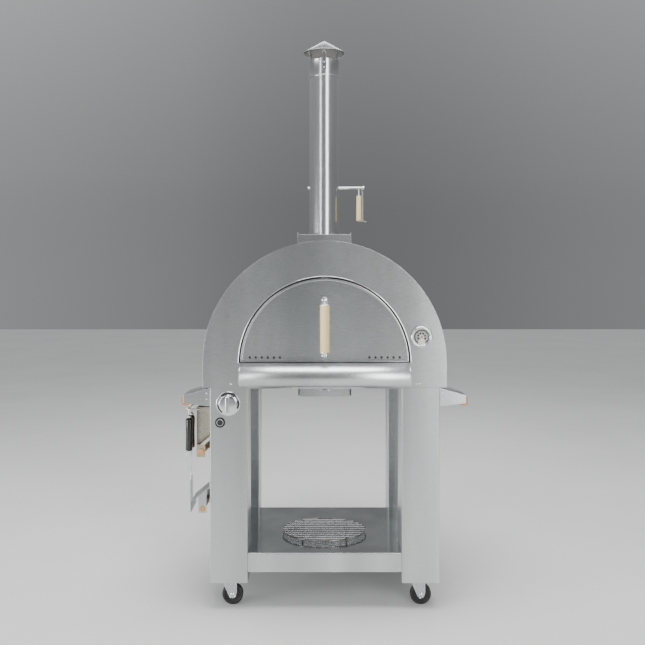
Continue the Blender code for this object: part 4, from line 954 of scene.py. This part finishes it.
def tools():
    """Glossy handles with chrome caps and rings, and flat steel blades."""
    for name in ("server", "turner"):
        low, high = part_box(f"{name}_handle")
        x, y = middle(f"{name}_handle").xy
        radius = (high.x - low.x) / 2
        base, top = low.z, high.z - 0.0378
        profile = [(0, base), (0.0065, base), *arc(radius - 0.004, base + 0.006, 0.004, -60, 0, 4)]
        profile += [(radius - 0.0012, (base + top) / 2), *arc(radius - 0.005, top - 0.014, 0.005, 0, 60, 5)]
        profile += [(0.0078, top - 0.004), (0, top - 0.004)]
        stand_in(f"{name}_handle", turned(profile, "Z", (x, y, 0), 40, False), "gloss")
        cap = [(0, top - 0.0045), (0.0082, top - 0.0045), (0.0082, top + 0.0010), (0.0045, top + 0.0045)]
        cap += [(0.0026, top + 0.0060), (0.0026, high.z - 0.0165), (0, high.z - 0.0165)]
        trim(f"{name}_cap", turned(cap, "Z", (x, y, 0), 32, False), f"{name}_handle")
        eye = (x, y, high.z - 0.0097)
        trim(f"{name}_eye", ring(eye, 0.0075, 0.0022), f"{name}_handle")
        refined(f"{name}_blade", "rod", 0.0004)


def casters():
    """Wheels, their forks and one brake pedal."""
    for spot in LEG_SPOTS:
        node = f"caster_wheel_{spot}"
        low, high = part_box(node)
        hub = (low + high) / 2
        wheel(node, hub, (high.y - low.y) / 2)
        fork(f"caster_fork_{spot}", hub)
    refined("brake_pedal", "black_plastic", 0.0005)


def wheel(node, hub, half):
    """Wheel with a rounded tread, a moulded line beside it and a stepped hub."""
    tread, side = hub.z, half - 0.0010
    profile = [(0.0048, -half), (0.0110, -half), (0.0120, -half + 0.0020), (0.0135, -side + 0.0038)]
    profile += [(0.0270, -side + 0.0038), (0.0290, -side + 0.0012), (0.0310, -side), (0.0322, -side + 0.0007)]
    profile += [(0.0334, -side + 0.0001), (0.0360, -side + 0.0006), (tread - 0.0014, -side + 0.0022)]
    profile += [(tread, -side + 0.0052)]
    profile += [(r, -h) for r, h in reversed(profile)]
    profile = [(r, hub.y + h) for r, h in profile]
    stand_in(node, turned(profile, "Y", (hub.x, 0, hub.z), 64), "wheel_rubber")


def fork(node, hub):
    """Fork with a bright wire rim and an axle nut on each cheek."""
    low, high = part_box(node)
    x, y = middle(node).xy
    refined(node, "zinc", 0.0007)
    half, cheek, shoulder = (high.x - low.x) / 2, 0.0165, 0.0990
    tip = arc(hub.x, hub.z, 0.014, 205, 350, 14)
    outline = [(x - half, shoulder), (x - half, 0.076), *tip, (x + half, hub.z + 0.010), (x + half, shoulder)]
    inner = [(x + (u - x) * 0.93, 0.0015 + v * 0.985) for u, v in outline]
    nut = [(0, 0.0), (0.0082, 0.0), (0.0082, 0.0030), (0.0062, 0.0044), (0, 0.0050)]
    for name, side in (("front", -1), ("rear", 1)):
        path = [(u, y + side * cheek, v) for u, v in inner]
        trim(f"{node}_rim_{name}", swept(path, 0.0011, 8), node)
        profile = [(r, y + side * (cheek + h)) for r, h in nut]
        trim(f"{node}_nut_{name}", turned(profile, "Y", (hub.x, 0, hub.z), 24, False), node)


def oval(radius_x, radius_y, centre, z):
    turns = [TAU * i / 72 for i in range(72)]
    return [(centre.x + radius_x * math.cos(t), centre.y + radius_y * math.sin(t), z) for t in turns]


def wire_rack():
    """Oval ring with close bars over two cross wires, on four short feet."""
    low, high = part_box("wire_rack")
    centre = (low + high) / 2
    wire, thin, cross = 0.0030, 0.0020, 0.0030
    radius_x, radius_y = (high.x - low.x) / 2 - wire, (high.y - low.y) / 2 - wire
    z = low.z + 0.0137
    stand_in("wire_rack", swept(oval(radius_x, radius_y, centre, z), wire, 16, True), "dark")
    bars, pitch = [], 0.0230
    for i in range(-5, 6):
        y = i * pitch
        half = radius_x * math.sqrt(1 - (y / radius_y) ** 2)
        bars.append(cylinder(thin, "X", (0, centre.y + y, z + 0.0008), centre.x - half, centre.x + half, 12))
    trim("rack_bars", joined(bars), "wire_rack")
    frame_wires, cross_z, reach = [], z - 0.0042, 0.085
    for side in (-1, 1):
        x = centre.x + side * reach
        half = radius_y * math.sqrt(1 - (reach / radius_x) ** 2)
        frame_wires.append(cylinder(cross, "Y", (x, 0, cross_z), centre.y - half, centre.y + half, 16))
        for end in (-1, 1):
            foot = (x, centre.y + end * reach, 0)
            frame_wires.append(cylinder(0.0034, "Z", foot, low.z, cross_z + 0.001, 16))
    trim("rack_cross_wires", joined(frame_wires), "wire_rack", "dark")


def remaining():
    """Any CAD node that no piece above stands for."""
    for node, obj in frame["nodes"].items():
        if not obj.hide_render:
            refined(node)


MAKERS = (body_shell, hearth, door, ledge, drawer, flue, damper, thermometer, gas_controls)
MAKERS += (legs, shelf, brackets, tool_rack, tools, casters, wire_rack, remaining)
for make in MAKERS:
    make()


# ---- stage


def make_floor():
    made = Shader("floor_paint", 0.7, 0.0)
    made.colour(made.noise(1.2, 4.0), [(0.3, (0.74, 0.74, 0.73)), (0.7, (0.80, 0.80, 0.79))])
    mesh = bpy.data.meshes.new("floor")
    half = 14
    corners = [(-half, -half, 0), (half, -half, 0), (half, half, 0), (-half, half, 0)]
    mesh.from_pydata(corners, [], [(0, 1, 2, 3)])
    mesh.materials.append(made.material)
    added("floor", mesh)


def area_light(name, location, aim_z, size, power):
    """Rectangular light that faces the object's upright axis at a height."""
    light = bpy.data.lights.new(name, "AREA")
    light.shape = "RECTANGLE"
    light.size, light.size_y = size
    light.energy = power
    obj = added(name, light)
    obj.location = location
    obj.rotation_euler = (Vector((0, 0, aim_z)) - Vector(location)).to_track_quat("-Z", "Y").to_euler()


def make_world():
    """Soft studio dome: pale overhead, darker near the horizon and along the middle."""
    world = bpy.data.worlds.new("studio")
    world.use_nodes = True
    tree = world.node_tree
    background = tree.nodes["Background"]
    coordinates = tree.nodes.new("ShaderNodeTexCoord")
    separate = tree.nodes.new("ShaderNodeSeparateXYZ")
    tree.links.new(coordinates.outputs["Generated"], separate.inputs[0])

    def graded(output, stops):
        """Smooth ramp of greys with a little blue."""
        ramp = colour_ramp(tree, output, [(at, (tone, tone * 1.01, tone * 1.02)) for at, tone in stops])
        ramp.color_ramp.interpolation = "B_SPLINE"
        return ramp.outputs["Color"]

    def halved(output):
        """Brings -1 to 1 into 0 to 1."""
        shifted = tree.nodes.new("ShaderNodeMath")
        shifted.operation = "MULTIPLY_ADD"
        shifted.inputs[1].default_value = 0.5
        shifted.inputs[2].default_value = 0.5
        tree.links.new(output, shifted.inputs[0])
        return shifted.outputs[0]

    height = graded(separate.outputs["Z"], ((0.0, 0.36), (0.12, 0.34), (0.35, 0.62), (1.0, 0.95)))
    sideways = ((0.0, 0.9), (0.25, 1.0), (0.42, 0.60), (0.52, 0.42), (0.64, 0.60), (0.80, 0.85), (1.0, 0.7))
    across = graded(halved(separate.outputs["X"]), sideways)
    blend = tree.nodes.new("ShaderNodeMix")
    blend.data_type = "RGBA"
    blend.blend_type = "MULTIPLY"
    blend.inputs[0].default_value = 1.0
    tree.links.new(height, blend.inputs[6])
    tree.links.new(across, blend.inputs[7])
    tree.links.new(blend.outputs[2], background.inputs["Color"])
    background.inputs["Strength"].default_value = 0.9
    bpy.context.scene.world = world


def make_camera():
    """Level camera before the door, at about the height of its top."""
    side, distance, height = -0.021, 2.91, 1.255
    camera = bpy.data.cameras.new("camera")
    camera.lens = 43.9
    camera.shift_x = 0.0054
    camera.shift_y = -0.0783
    obj = added("camera", camera)
    obj.location = (side, FRONT_Y - distance, height)
    obj.rotation_euler = (QUARTER, 0, 0)
    bpy.context.scene.camera = obj


make_floor()
make_world()
area_light("left_strip", (-2.05, -3.9, 1.9), 1.5, (0.35, 3.2), 30)
area_light("left_bank", (-3.4, -1.9, 0.75), 0.8, (1.8, 1.2), 80)
area_light("right_strip", (1.75, -4.1, 1.9), 1.5, (1.0, 3.2), 75)
area_light("overhead", (0, -0.8, 4.4), 0.8, (2.6, 2.2), 165)
area_light("back_fill", (0.5, 3.0, 4.0), 1.2, (2.4, 1.2), 45)
make_camera()
